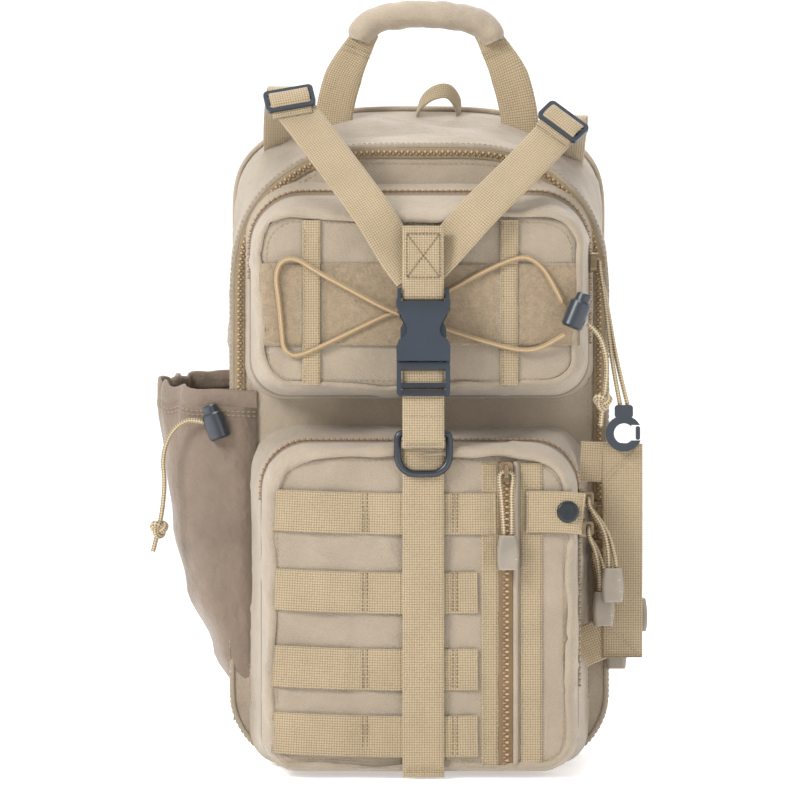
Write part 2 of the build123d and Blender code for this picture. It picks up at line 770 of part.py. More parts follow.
for name, (top, middle) in pull_hangs.items():
    place = slider_places[name]
    eye = place.origin + place.z_dir * zip_stand
    side = place.x_dir
    up = place.y_dir
    end = Vector(*top)
    first = []
    second = []
    for spread, points in ((-1, first), (1, second)):
        points.append(end + Vector(spread * strand, 0, 0))
        for index, spot in enumerate(middle):
            share = (index + 1) / (len(middle) + 1)
            fan = Vector(spread * strand, 0, 0) * (1 - share) + side * (spread * 3.6 * share)
            points.append(Vector(*spot) + fan)
        points.append(eye + side * (spread * 4.2) - up * 4.6)
        points.append(eye + side * (spread * 3.3))
    cord(f"cord_{name}", [tuple(spot) for spot in first + second[::-1]], 2.8)

for name in ("front", "lower_high", "lower_low", "main_high", "main_low"):
    end = Vector(*pull_hangs[name][0])
    with BuildPart() as pull_end:
        for drop, width, thick in ((0.0, 10.5, 6.8), (13.0, 13.0, 7.4), (20.5, 11.5, 6.0)):
            with BuildSketch(Plane(origin=end - Vector(0, 0, drop), x_dir=(1, 0, 0), z_dir=(0, 0, 1))):
                RectangleRounded(width, thick, 2.6)
        loft()
    save(pull_end, f"pull_{name}")
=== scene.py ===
"""Looks of the tactical sling pack: fabric, webbing, zips, cords and hardware round the CAD frame."""

from math import copysign, cos, exp, pi, radians, sin

import bpy
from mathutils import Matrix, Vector, noise


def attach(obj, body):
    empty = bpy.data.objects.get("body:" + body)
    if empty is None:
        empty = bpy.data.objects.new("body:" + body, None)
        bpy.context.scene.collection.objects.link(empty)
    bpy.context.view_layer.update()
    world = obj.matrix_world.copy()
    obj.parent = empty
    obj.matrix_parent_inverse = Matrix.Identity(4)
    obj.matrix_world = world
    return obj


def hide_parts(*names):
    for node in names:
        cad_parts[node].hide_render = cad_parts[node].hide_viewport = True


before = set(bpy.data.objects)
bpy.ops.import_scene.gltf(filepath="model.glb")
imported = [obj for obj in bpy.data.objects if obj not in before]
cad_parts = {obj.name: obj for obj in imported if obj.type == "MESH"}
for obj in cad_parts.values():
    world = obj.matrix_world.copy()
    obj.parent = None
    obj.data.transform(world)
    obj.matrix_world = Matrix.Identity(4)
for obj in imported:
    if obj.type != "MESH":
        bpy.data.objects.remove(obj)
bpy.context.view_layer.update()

# noise_vector would take its offsets from the clock: this seed fixes how the pocket seams wander.
SEAM_SEED = 1794977018
noise.seed_set(SEAM_SEED)

MM = 0.001
X_AXIS = Vector((1, 0, 0))
TO_BACK = Vector((0, 1, 0))
TO_FRONT = Vector((0, -1, 0))
UPWARD = Vector((0, 0, 1))
WHITE = (1, 1, 1, 1)
BLACK = (0, 0, 0, 1)
WEB_WIDTH = 25
WEB_THICK = 1.5
MAIN_ZIP_END_RIGHT = 66
MAIN_ZIP_END_LEFT = 225


def at(x, y, z):
    """A point given in millimetres, in metres."""
    return Vector((x, y, z)) * MM


def share_of(value, low, high):
    """How far value is on its way from low to high, from 0 to 1."""
    return min(max((value - low) / (high - low), 0), 1)


def added(name, data):
    """A new object that shows the data, linked into the scene."""
    thing = bpy.data.objects.new(name, data)
    bpy.context.collection.objects.link(thing)
    return thing


# ---- camera ----

camera_data = bpy.data.cameras.new("camera")
camera_data.lens = 143.6
camera_data.sensor_width = 36
camera = added("camera", camera_data)
camera.location = at(-12, -2000, 227)
camera.rotation_euler = (radians(90), 0, 0)
bpy.context.scene.camera = camera

# ---- materials ----


def srgb(r, g, b):
    """Linear colour of a 0-255 screen colour."""
    return tuple(((c / 255 + 0.055) / 1.055) ** 2.4 for c in (r, g, b)) + (1,)


class Shader:
    """Small helper that wires one node material."""

    def __init__(self, name, roughness=0.8, metallic=0.0, sheen=0.0, coat=0.0):
        self.mat = bpy.data.materials.new(name)
        self.mat.use_nodes = True
        self.nodes = self.mat.node_tree.nodes
        self.links = self.mat.node_tree.links
        self.bsdf = self.nodes["Principled BSDF"]
        self.bsdf.inputs["Roughness"].default_value = roughness
        self.bsdf.inputs["Metallic"].default_value = metallic
        self.bsdf.inputs["Sheen Weight"].default_value = sheen
        self.bsdf.inputs["Coat Weight"].default_value = coat

    def put(self, socket, value):
        if hasattr(value, "is_output"):
            self.links.new(value, socket)
        else:
            socket.default_value = value

    def math(self, operation, a, b=0.0):
        node = self.nodes.new("ShaderNodeMath")
        node.operation = operation
        self.put(node.inputs[0], a)
        self.put(node.inputs[1], b)
        return node.outputs[0]

    def times(self, a, b):
        return self.math("MULTIPLY", a, b)

    def wave(self, value, period):
        """Sine of a length in mm that repeats after each period."""
        return self.math("SINE", self.times(value, 2 * pi / period))

    def woven(self, a, b):
        """Half the product of two waves plus a half, which lies between 0 and 1."""
        made = self.math("MULTIPLY_ADD", self.times(a, b), 0.5)
        made.node.inputs[2].default_value = 0.5
        return made

    def uv(self):
        """The UV map, which every cloth piece holds in millimetres: across, along."""
        node = self.nodes.new("ShaderNodeUVMap")
        split = self.nodes.new("ShaderNodeSeparateXYZ")
        self.links.new(node.outputs[0], split.inputs[0])
        return split.outputs[0], split.outputs[1]

    def place(self):
        node = self.nodes.new("ShaderNodeTexCoord")
        return node.outputs["Object"]

    def noise(self, scale, detail=3, rough=0.55):
        node = self.nodes.new("ShaderNodeTexNoise")
        node.inputs["Scale"].default_value = scale
        node.inputs["Detail"].default_value = detail
        node.inputs["Roughness"].default_value = rough
        self.links.new(self.place(), node.inputs["Vector"])
        return node.outputs["Fac"]

    def ramp(self, factor, stops):
        node = self.nodes.new("ShaderNodeValToRGB")
        self.links.new(factor, node.inputs[0])
        elements = node.color_ramp.elements
        elements[0].position, elements[0].color = stops[0]
        elements[1].position, elements[1].color = stops[-1]
        for position, color in stops[1:-1]:
            elements.new(position).color = color
        return node.outputs[0]

    def tones(self, factor, color, *stops):
        """Ramp of one colour: each stop is a position and a brightness."""
        return self.ramp(factor, [(position, shade(color, bright)) for position, bright in stops])

    def mix(self, factor, a, b, kind="MIX"):
        node = self.nodes.new("ShaderNodeMix")
        node.data_type = "RGBA"
        node.blend_type = kind
        self.put(node.inputs[0], factor)
        self.put(node.inputs[6], a)
        self.put(node.inputs[7], b)
        return node.outputs[2]

    def color(self, value):
        self.put(self.bsdf.inputs["Base Color"], value)

    def bump(self, height, strength, distance):
        node = self.nodes.new("ShaderNodeBump")
        node.inputs["Strength"].default_value = strength
        node.inputs["Distance"].default_value = distance
        self.links.new(height, node.inputs["Height"])
        if self.bsdf.inputs["Normal"].is_linked:
            self.links.new(self.bsdf.inputs["Normal"].links[0].from_socket, node.inputs["Normal"])
        self.links.new(node.outputs[0], self.bsdf.inputs["Normal"])

    def rough(self, factor, low, high):
        node = self.nodes.new("ShaderNodeMapRange")
        self.links.new(factor, node.inputs[0])
        node.inputs["To Min"].default_value = low
        node.inputs["To Max"].default_value = high
        self.links.new(node.outputs[0], self.bsdf.inputs["Roughness"])


def shade(color, factor):
    return tuple(c * factor for c in color[:3]) + (1,)


def cloth_material(name, color, pitch_u, pitch_v, depth, diagonal=0.0, contrast=0.72, patchy=0.12, soft=0.0,
                   ribbed=False):
    """Woven cloth: threads over and under in the UV plane, painted shade in the gaps between threads, uneven
    dye and a soft nap.
    """
    s = Shader(name, roughness=0.82, sheen=0.25)
    s.bsdf.inputs["Sheen Roughness"].default_value = 0.5
    u, v = s.uv()
    if diagonal:
        u, v = s.math("ADD", u, s.times(v, diagonal)), s.math("SUBTRACT", v, s.times(u, diagonal))
    warp = s.wave(u, pitch_u)
    weft = s.wave(v, pitch_v)
    if ribbed:
        thread = s.math("POWER", s.math("ABSOLUTE", s.times(warp, weft)), 0.6)
    else:
        thread = s.woven(warp, weft)
    dyed = s.tones(s.noise(38, 5), color, (0.3, 1 - patchy), (0.7, 1 + patchy * 0.5))
    # Painted shade: the low parts of the weave, between the threads, are darkened down to contrast.
    painted_gap_shade = s.tones(thread, WHITE, (0.1, contrast), (0.62, 1))
    fleck = s.ramp(s.noise(1500, 2), [(0.32, (0.86, 0.85, 0.84, 1)), (0.6, WHITE)])
    s.color(s.mix(1, s.mix(1, dyed, painted_gap_shade, "MULTIPLY"), fleck, "MULTIPLY"))
    s.bump(thread, 0.55, depth)
    s.bump(s.noise(220, 3), 0.25, 0.0006)
    if soft:
        s.bump(s.noise(26, 5, 0.6), 0.55, 0.006 * soft)
    return s.mat


def plastic_material(name, color, low, high, grain=900):
    """Moulded plastic: fine grain, uneven gloss and a painted highlight on the corners."""
    s = Shader(name, roughness=low, coat=0.12)
    s.bsdf.inputs["Coat Roughness"].default_value = 0.25
    edge = s.nodes.new("ShaderNodeNewGeometry").outputs["Pointiness"]
    # Painted highlight: convex edges, found by pointiness, are mixed towards a lighter copy of the colour.
    painted_edge_highlight = s.ramp(edge, [(0.50, BLACK), (0.60, WHITE)])
    base = s.tones(s.noise(60, 4), color, (0.3, 0.85), (0.7, 1.2))
    s.color(s.mix(s.times(painted_edge_highlight, 0.35), base, shade(color, 3)))
    s.rough(s.noise(140, 3), low, high)
    s.bump(s.noise(grain, 2), 0.12, 0.0003)
    return s.mat


def cord_material(name, color, fleck, pitch=3.2, around=9.4):
    """Braid: two families of strands crossing round the cord."""
    s = Shader(name, roughness=0.75, sheen=0.2)
    u, v = s.uv()
    turn = s.times(u, 4 * pi / around)
    along = s.times(v, 2 * pi / pitch)
    one = s.math("SINE", s.math("ADD", turn, along))
    two = s.math("SINE", s.math("SUBTRACT", turn, along))
    braid = s.woven(one, two)
    s.color(s.ramp(braid, [(0.12, fleck), (0.45, shade(color, 0.8)), (0.8, shade(color, 1.12))]))
    s.bump(braid, 0.8, 0.0006)
    return s.mat


def pile_material(name, color):
    """Hook-and-loop pile: tangled loops, with painted shade down between them."""
    s = Shader(name, roughness=0.95, sheen=0.6)
    tangle = s.noise(900, 6, 0.75)
    clump = s.noise(260, 4)
    # Painted shade: the colour darkens where the tangled loops sink, as the bump does.
    s.color(s.mix(
        0.5,
        s.tones(tangle, color, (0.35, 0.55), (0.62, 1.25)),
        s.tones(clump, color, (0.35, 0.75), (0.65, 1.15)),
    ))
    s.bump(tangle, 1, 0.0012)
    s.bump(clump, 0.5, 0.0015)
    return s.mat


def mesh_material(name, color):
    """Spacer mesh of the padding: rows of small open cells, painted dark as shade inside them."""
    s = Shader(name, roughness=0.9, sheen=0.3)
    u, v = s.uv()
    cell = 3.4
    cells = s.times(s.wave(s.math("ADD", u, v), cell), s.wave(s.math("SUBTRACT", u, v), cell))
    open_cell = s.math("ABSOLUTE", cells)
    # Painted shade: where the cells sink in, the colour is mixed to a dark copy of itself.
    s.color(s.mix(
        s.ramp(open_cell, [(0.45, BLACK), (0.75, WHITE)]),
        s.tones(s.noise(45), color, (0.3, 0.9), (0.7, 1.08)),
        shade(color, 0.38),
    ))
    s.bump(s.math("SUBTRACT", 1, open_cell), 0.7, 0.001)
    return s.mat


def metal_material(name, color):
    s = Shader(name, roughness=0.35, metallic=0.6, coat=0.4)
    s.color(s.tones(s.noise(300, 4), color, (0.35, 0.8), (0.7, 1.25)))
    s.rough(s.noise(500), 0.25, 0.5)
    return s.mat


KHAKI = srgb(160, 146, 127)
TAN = srgb(172, 153, 122)
fabric = cloth_material("khaki_oxford", KHAKI, 1.5, 1.5, 0.0004, diagonal=0.5, contrast=0.80, soft=1)
plain = cloth_material("khaki_plain", shade(KHAKI, 1.04), 0.9, 0.9, 0.0002, contrast=0.88, soft=1.2)
lining = cloth_material("bottle_cloth", srgb(126, 110, 95), 1.1, 1.1, 0.0002, contrast=0.86, patchy=0.16,
                        soft=1.6)
binding = cloth_material("binding", srgb(150, 132, 103), 1.2, 1.6, 0.0004, contrast=0.66)
web = cloth_material("webbing", TAN, 3, 3, 0.0006, contrast=0.46, patchy=0.08, ribbed=True)
dark_thread = cloth_material("dark_thread", srgb(118, 98, 70), 0.5, 0.8, 0.0002, contrast=0.6)
thread = cloth_material("thread", srgb(172, 152, 120), 0.5, 0.8, 0.0002, contrast=0.6)
pile = pile_material("loop_pile", srgb(152, 132, 104))
pad = mesh_material("spacer_mesh", srgb(150, 135, 114))
coil = plastic_material("zip_coil", srgb(134, 112, 84), 0.4, 0.6)
tape = cloth_material("zip_tape", srgb(128, 104, 74), 0.8, 1.4, 0.0003, contrast=0.7)
black = plastic_material("black_acetal", srgb(33, 38, 45), 0.26, 0.4)
taupe = plastic_material("taupe_rubber", srgb(128, 119, 106), 0.45, 0.6, 500)
snap = metal_material("snap_enamel", srgb(34, 40, 44))
zinc = metal_material("slider_paint", srgb(128, 108, 80))
braid = cord_material("braided_cord", srgb(178, 160, 128), srgb(84, 68, 50))
shock = cord_material("shock_cord", srgb(180, 154, 116), srgb(140, 114, 80), pitch=1.6)

# ---- mesh building ----


class Sheet:
    """Faces with UV in millimetres, gathered before they become one object."""

    def __init__(self):
        self.verts = []
        self.faces = []
        self.uvs = []

    def grid(self, rows, close=False, planar=False):
        """Quads between rows of points in metres; planar cloth takes its UV from X and Z."""
        base = len(self.verts)
        width = len(rows[0])
        lengths = []
        for row in rows:
            run = [0.0]
            for a, b in zip(row, row[1:] + row[:1]):
                run.append(run[-1] + (b - a).length / MM)
            lengths.append([value - run[-1] / 2 for value in run])
            self.verts.extend(row)
        drop = [0.0]
        for low, high in zip(rows, rows[1:]):
            drop.append(drop[-1] + (low[width // 2] - high[width // 2]).length / MM)
        for r in range(len(rows) - 1):
            for c in range(width if close else width - 1):
                d = (c + 1) % width
                a = base + r * width
                corners = (a + c, a + d, a + width + d, a + width + c)
                self.faces.append(corners)
                if planar:
                    self.uvs.append(tuple((self.verts[i].x / MM, self.verts[i].z / MM) for i in corners))
                    continue
                self.uvs.append((
                    (lengths[r][c], drop[r]),
                    (lengths[r][c + 1], drop[r]),
                    (lengths[r + 1][c + 1], drop[r + 1]),
                    (lengths[r + 1][c], drop[r + 1]),
                ))
        return base

    def fan(self, start, count, flip=False):
        """Cap over a closed row of points that was just added."""
        order = list(range(start, start + count))
        if flip:
            order.reverse()
        self.faces.append(tuple(order))
        self.uvs.append(tuple((self.verts[i].x / MM, self.verts[i].z / MM) for i in order))

    def bar(self, rows, flip=False):
        """Closed rows with a cap at both ends; flip turns the caps round."""
        count = len(rows[0])
        start = self.grid(rows, close=True)
        self.fan(start, count, flip)
        self.fan(start + count * (len(rows) - 1), count, not flip)

    def panel(self, rows):
        """Closed rows from a rim inwards, capped at the last one."""
        count = len(rows[0])
        start = self.grid(rows, close=True, planar=True)
        self.fan(start + count * (len(rows) - 1), count)

    def mesh(self, name, material):
        mesh = bpy.data.meshes.new(name)
        mesh.from_pydata([tuple(v) for v in self.verts], [], self.faces)
        layer = mesh.uv_layers.new(name="UVMap")
        flat = [value for corner in self.uvs for pair in corner for value in pair]
        layer.data.foreach_set("uv", flat)
        mesh.polygons.foreach_set("use_smooth", [True] * len(mesh.polygons))
        mesh.materials.append(material)
        mesh.update()
        return mesh

    def piece(self, name, material, stands_for=None, body="pack", weld=False, slot=None):
        """One object of all the faces; the slot argument is not used."""
        thing = added(name, self.mesh(name, material))
        if weld:
            modifier = thing.modifiers.new("weld", "WELD")
            modifier.merge_threshold = 0.00002
        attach(thing, body)
        if stands_for:
            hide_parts(stands_for)
        return thing


def resample(points, count, closed=False):
    """Evenly spaced points along a line of points."""
    line = list(points) + ([points[0]] if closed else [])
    run = [0.0]
    for a, b in zip(line, line[1:]):
        run.append(run[-1] + (b - a).length)
    steps = count if closed else count - 1
    made = []
    here = 0
    for i in range(count):
        goal = run[-1] * i / steps
        while here < len(run) - 2 and run[here + 1] < goal:
            here += 1
        span = run[here + 1] - run[here]
        share = (goal - run[here]) / span if span > 1e-12 else 0.0
        made.append(line[here].lerp(line[here + 1], min(max(share, 0.0), 1)))
    return made


def smooth_line(points, step=2, closed=False):
    """A rounded line through given points (Catmull-Rom), one point every step mm."""
    count = len(points)
    line = []
    spans = count if closed else count - 1
    for i in range(spans):
        if closed:
            a, b, c, d = (points[(i + k) % count] for k in (-1, 0, 1, 2))
        else:
            b, c = points[i], points[i + 1]
            a = points[i - 1] if i else b + (b - c)
            d = points[i + 2] if i + 2 < count else c + (c - b)
        for k in range(12):
            t = k / 12
            line.append(0.5 * (
                2 * b + (c - a) * t + (2 * a - 5 * b + 4 * c - d) * t * t + (3 * b - a - 3 * c + d) * t**3
            ))
    if not closed:
        line.append(points[-1])
    total = sum((b - a).length for a, b in zip(line, line[1:]))
    return resample(line, max(4, int(total / MM / step)), closed)


def heading(line, i):
    """Direction of an open line at its point i."""
    return (line[min(i + 1, len(line) - 1)] - line[max(i - 1, 0)]).normalized()


WEB_SECTION = (
    (-1, 0.35), (-0.93, 1), (-0.5, 0.86), (0, 0.84), (0.5, 0.86), (0.93, 1), (1, 0.35),
    (1, -0.35), (0.93, -1), (0.5, -0.86), (0, -0.84), (-0.5, -0.86), (-0.93, -1), (-1, -0.35),
)


def ribbon(sheet, line, across, wave, width=WEB_WIDTH, thick=WEB_THICK, seed=0.0, narrow=1):
    """Strap along line (metres): rounded selvages, slight waviness; narrow is its width share at the end."""
    rise = thick / 2 * MM
    rows = []
    for i, here in enumerate(line):
        drawn = share_of(i / (len(line) - 1), 0.55, 1)
        half = width / 2 * MM * (1 - (1 - narrow) * drawn)
        ahead = heading(line, i)
        side = (across - ahead * across.dot(ahead)).normalized()
        up = ahead.cross(side).normalized()
        lift = noise.noise(here * 60 + Vector((seed, 0, 0))) * wave * MM
        rows.append([here + side * (u * half) + up * (h * rise + lift) for u, h in WEB_SECTION])
    sheet.bar(rows)


def facing_ribbon(sheet, line, facing, *form, **more):
    """Strap whose width lies square to its run and to the direction that it faces."""
    run = (line[-1] - line[0]).normalized()
    ribbon(sheet, line, run.cross(facing), *form, **more)


def tube_into(sheet, line, radius, sides=10, closed=False):
    """Round tube along line (metres), its frame carried along without twist."""
    ahead = (line[1] - line[0]).normalized()
    side = ahead.orthogonal().normalized()
    rows = []
    for i, here in enumerate(line):
        if closed:
            ahead = (line[(i + 1) % len(line)] - line[i - 1]).normalized()
        else:
            ahead = heading(line, i)
        side = (side - ahead * side.dot(ahead)).normalized()
        up = ahead.cross(side)
        rows.append([
            here + (side * cos(a) + up * sin(a)) * radius
            for a in (2 * pi * k / sides for k in range(sides))
        ])
    if closed:
        sheet.grid(rows + rows[:1], close=True)
    else:
        sheet.bar(rows, flip=True)


def tube(name, line, radius, material, sides=10, closed=False, **places):
    sheet = Sheet()
    tube_into(sheet, line, radius, sides, closed)
    return sheet.piece(name, material, weld=closed, **places)


def stitch(sheet, line, up, pitch=2.2, length=1.7, radius=0.3):
    """Row of raised stitches along line, lying on a surface that faces up."""
    total = sum((b - a).length for a, b in zip(line, line[1:]))
    count = max(2, int(total / MM / pitch))
    dots = resample(line, count + 1)
    for a, b in zip(dots, dots[1:]):
        run = b - a
        if run.length < 1e-6:
            continue
        ahead = run.normalized()
        normal = up(a) if callable(up) else up
        normal = (normal - ahead * normal.dot(ahead)).normalized()
        side = ahead.cross(normal)
        middle = (a + b) / 2
        rows = []
        for share, swell in ((-0.5, 0.35), (-0.3, 1), (0.3, 1), (0.5, 0.35)):
            spot = middle + ahead * (share * length * MM)
            r = radius * swell * MM
            rows.append([
                spot + side * (cos(t) * r) + normal * (sin(t) * r + radius * 0.4 * MM)
                for t in (0.3, 1.57, 2.84, 4.71)
            ])
        sheet.bar(rows, flip=True)


def stitched(name, material, lines, up=TO_FRONT, body="pack", *form):
    """One piece of stitching along several lines."""
    seams = Sheet()
    for line in lines:
        stitch(seams, line, up, *form)
    seams.piece(name, material, body=body)


def teeth(sheet, line, up, reach, height, pitch=1.8):
    """Zip chain: interlocked coil turns from alternate sides along line."""
    total = sum((b - a).length for a, b in zip(line, line[1:]))
    count = int(total / MM / pitch)
    dots = resample(line, count + 1)
    for i, (a, b) in enumerate(zip(dots, dots[1:])):
        ahead = (b - a).normalized()
        normal = up(a) if callable(up) else up
        normal = (normal - ahead * normal.dot(ahead)).normalized()
        side = ahead.cross(normal) * (1 if i % 2 else -1)
        rows = []
        for share, lift, swell in ((-0.25, 0.1, 0.5), (0.2, 0.75, 1), (0.75, 0.7, 1), (1, 0.1, 0.6)):
            spot = a + side * (share * reach * MM) + normal * (lift * height * MM)
            r = pitch * 0.46 * swell * MM
            rows.append([
                spot + ahead * (cos(t) * r) + normal * (sin(t) * r * 0.8)
                for t in (pi * k / 3 for k in range(6))
            ])
        sheet.bar(rows, flip=True)


# ---- outlines of the body and pockets ----


def arc_points(cx, cz, radius, start, end, steps=14):
    return [
        Vector((cx + radius * cos(a), 0, cz + radius * sin(a)))
        for a in (radians(start + (end - start) * k / steps) for k in range(steps + 1))
    ]


def hermite(a, b, ta, tb, steps=24):
    made = []
    for k in range(steps + 1):
        t = k / steps
        made.append(
            a * (2 * t**3 - 3 * t * t + 1) + ta * (t**3 - 2 * t * t + t)
            + b * (3 * t * t - 2 * t**3) + tb * (t**3 - t * t)
        )
    return made


def mirrored(right, count):
    """Closed outline in mm from its right half, which runs from bottom centre to top centre."""
    left = [Vector((-p.x, 0, p.z)) for p in reversed(right[1:-1])]
    return resample(right + left, count, closed=True)


def body_outline(t, inset, count=220):
    """Main body section: t is 0 at the front rim and 1 at the back panel."""
    half = 118 - inset
    corner = max(45 - inset, 4)
    spring = 290 + 45 * t
    shoulder = Vector((90 + 6 * t - 0.7 * inset, 0, 366 + 30 * t - 0.7 * inset))
    crown = Vector((0, 0, 387 + 28 * t - inset))
    spring_point = Vector((half, 0, spring))
    slope = (crown - spring_point) * 0.62
    right = [Vector((0, 0, inset))] + arc_points(half - corner, inset + corner, corner, -90, 0)
    right += hermite(spring_point, shoulder, Vector((0, 0, 85)), slope)
    right += hermite(shoulder, crown, slope * 1.15, Vector((-110, 0, 0)))[1:]
    return mirrored(right, count)


def box_outline(half, floor, top, low_corner, top_corner, inset, count=200):
    """Pocket section: rounded rectangle, its own radius below and above."""
    half, floor, top = half - inset, floor + inset, top - inset
    low, high = max(low_corner - inset, 2), max(top_corner - inset, 2)
    right = [Vector((0, 0, floor))]
    right += arc_points(half - low, floor + low, low, -90, 0)
    right += arc_points(half - high, top - high, high, 0, 90)
    right.append(Vector((0, 0, top)))
    return mirrored(right, count)


def at_depth(outline, depth):
    """Lift a flat outline (mm) to depth y, as points in metres."""
    return [at(p.x, depth(p) if callable(depth) else depth, p.z) for p in outline]


def drawn_in(outline, middle_z, steps):
    """The outline drawn in step by step towards its middle, which fills a panel evenly."""
    middle = Vector((0, 0, middle_z))
    for k in range(1, steps + 1):
        yield [middle + (p - middle) * (1 - 0.985 * k / steps) for p in outline]


def creased(value, strength):
    """Soft fold profile: rounded ridges with narrower valleys."""
    return (abs(sin(value)) ** 0.7 - 0.6) * strength


def folds(p, strength, seed=0.0):
    """Cloth creases at a point in mm, as a height in mm: broad swells and a few sharper ridges."""
    broad = noise.noise(Vector((p.x, p.y * 1.6, p.z)) * 0.017 + Vector((seed, 0, 0)))
    fine = noise.noise(Vector((p.x, p.y * 2.2, p.z)) * 0.05 + Vector((seed + 7, 0, 0)))
    crease = abs(noise.noise(Vector((p.x * 0.6, p.y * 1.8, p.z)) * 0.032 + Vector((0, seed, 0))))
    ridge = max(0.0, 1 - crease * 6) ** 2
    return strength * (broad * 1.5 + fine * 0.8 + ridge * 0.9)


# ---- main body ----


def on_main_zip(p):
    """Whether a point in metres is on the stretch of the rim that the zip follows."""
    return p.z > (MAIN_ZIP_END_RIGHT if p.x > 0 else MAIN_ZIP_END_LEFT) * MM


def build_body():
    shell = Sheet()
    rows = []
    profile = [(-15.4, 3), (-16, 1.8), (-15.2, 0.6), (-12, -0.2), (-7, -0.4), (-1, 0.0), (6, 0.6),
               (13, 1), (20, 1.2), (27, 1.2), (34, 1), (41, 0.6), (48, 0.2), (55, -0.2),
               (61, -0.2), (66, 0.4)]
    for y, inset in profile:
        outline = body_outline(share_of(y, -12, 68), inset)
        wave = 1.6 * sin(pi * share_of(y, -16, 68))
        row = []
        for p in outline:
            spot = Vector((p.x, y, p.z))
            out = Vector((p.x, 0, p.z - 200)).normalized()
            fold = folds(spot, 1.7 * wave, 2) if p.z >= 3 else 0.0
            row.append((spot + out * fold) * MM)
        rows.append(row)
    shell.grid(rows, close=True)
    shell.piece("body_shell", fabric, stands_for="main_gusset")

    panel = Sheet()
    rows = []
    rings = [(inset, body_outline(0, inset)) for inset in (1.4, 6, 8.6, 9.6, 11.5, 14.5, 19)]
    for k, ring in enumerate(drawn_in(rings[-1][1], 195, 18)):
        rings.append((19 + 6 * (k + 1), ring))
    for inset, ring in rings:
        puff = 5.5 * (1 - exp(-max(inset - 9.6, 0) / 14))

        def depth(p, puff=puff):
            return -14.4 - puff * (0.6 + 0.4 * share_of(p.z, 120, 340)) - folds(p, puff * 0.22, 5)

        rows.append(at_depth(ring, depth))
    panel.panel(rows)
    panel.piece("front_panel", fabric, stands_for="main_front")

    zip_band = Sheet()
    rows = []
    for inset, y in ((2.6, -14.4), (3.4, -16), (5.4, -15.5), (7.6, -15.5), (9.4, -16), (10.2, -14)):
        rows.append(at_depth(body_outline(0, inset, 400), y))
    kept = [i for i, p in enumerate(rows[2]) if on_main_zip(p)]
    zip_band.grid([[row[i] for i in kept] for row in rows])
    zip_band.piece("main_zip_tape", binding, stands_for="main_zip", slot="zip_chain")

    chain = Sheet()
    ring = at_depth(body_outline(0, 6.5, 400), -15.7)
    high = [p for p in ring if on_main_zip(p)]
    teeth(chain, high, TO_FRONT, 1.7, 1)
    chain.piece("main_zip_teeth", coil)

    seams = Sheet()
    for inset, y in ((0.2, -16.1), (12.6, -16.6)):
        ring = at_depth(body_outline(0, inset, 300), y)
        stitch(seams, ring + ring[:1], TO_FRONT, 3.4, 2.3, 0.3)
    seams.piece("main_zip_stitches", thread)

    ring = at_depth(body_outline(1, -0.6, 260), 67.5)
    tube("rear_piping", ring, 1.9 * MM, plain, 8, True)


def build_back():
    back = Sheet()
    rows = []
    for inset, y in ((0.2, 67.5), (-0.4, 71), (-0.2, 75), (1.5, 78), (5, 80), (10, 81.5), (16, 82.5)):
        rows.append(at_depth(body_outline(1, inset), y))
    for k, ring in enumerate(drawn_in(body_outline(1, 16), 205, 34)):
        inset = 16 + 4 * (k + 1)

        def depth(p, inset=inset):
            groove = exp(-((abs(p.x) - 8) / 4.5) ** 2) if abs(p.x) < 30 else 0.0
            rib = 0.0
            for z in (95, 185, 275):
                rib = max(rib, exp(-((p.z - z) / 4.5) ** 2))
            fade = share_of(inset, 18, 28)
            return 83 - 4.5 * fade * max(groove, rib)

        rows.append(at_depth(ring, depth))
    back.panel(rows)
    thing = back.piece("back_padding", pad, stands_for="back_panel")


# ---- pockets ----

UPPER = dict(root=-15, front=-63, half=(107, 98), floor=(228, 234), top=(362, 340),
             low=(22, 22), high=(36, 24))
LOWER = dict(root=-15, front=-85, half=(104, 91), floor=(2, 5), top=(211, 196),
             low=(20, 20), high=(28, 28))


def wobble(spec, p, share):
    """A pocket's face seam wanders a little, as sewn cloth does: an offset in mm."""
    shift = noise.noise_vector(Vector((p.x, 0, p.z)) * 0.03 + Vector((spec["front"], 0, 0)))
    return Vector((shift.x, 0, shift.z)) * 3.4 * share


def pocket_outline(spec, y, inset, count=200):
    t = (y - spec["root"]) / (spec["front"] - spec["root"])

    def value(key):
        return spec[key][0] + (spec[key][1] - spec[key][0]) * t

    return box_outline(value("half"), value("floor"), value("top"), value("low"), value("high"), inset, count)


def face_depth(spec, x, z):
    """Y of a pocket's face at (x, z) mm: flat where things are sewn on, easing in at its edges."""
    edge = min(spec["half"][1] - abs(x), z - spec["floor"][1], spec["top"][1] - z)
    ease = exp(-max(edge, 0) / 5)
    calm = 1 - 0.85 * share_of(x, 30, 40) * (spec is LOWER)
    ripple = folds(Vector((x, 0, z)), 0.7 * calm, spec["front"])
    return spec["front"] + 2.4 * ease - ripple * (1 - ease)


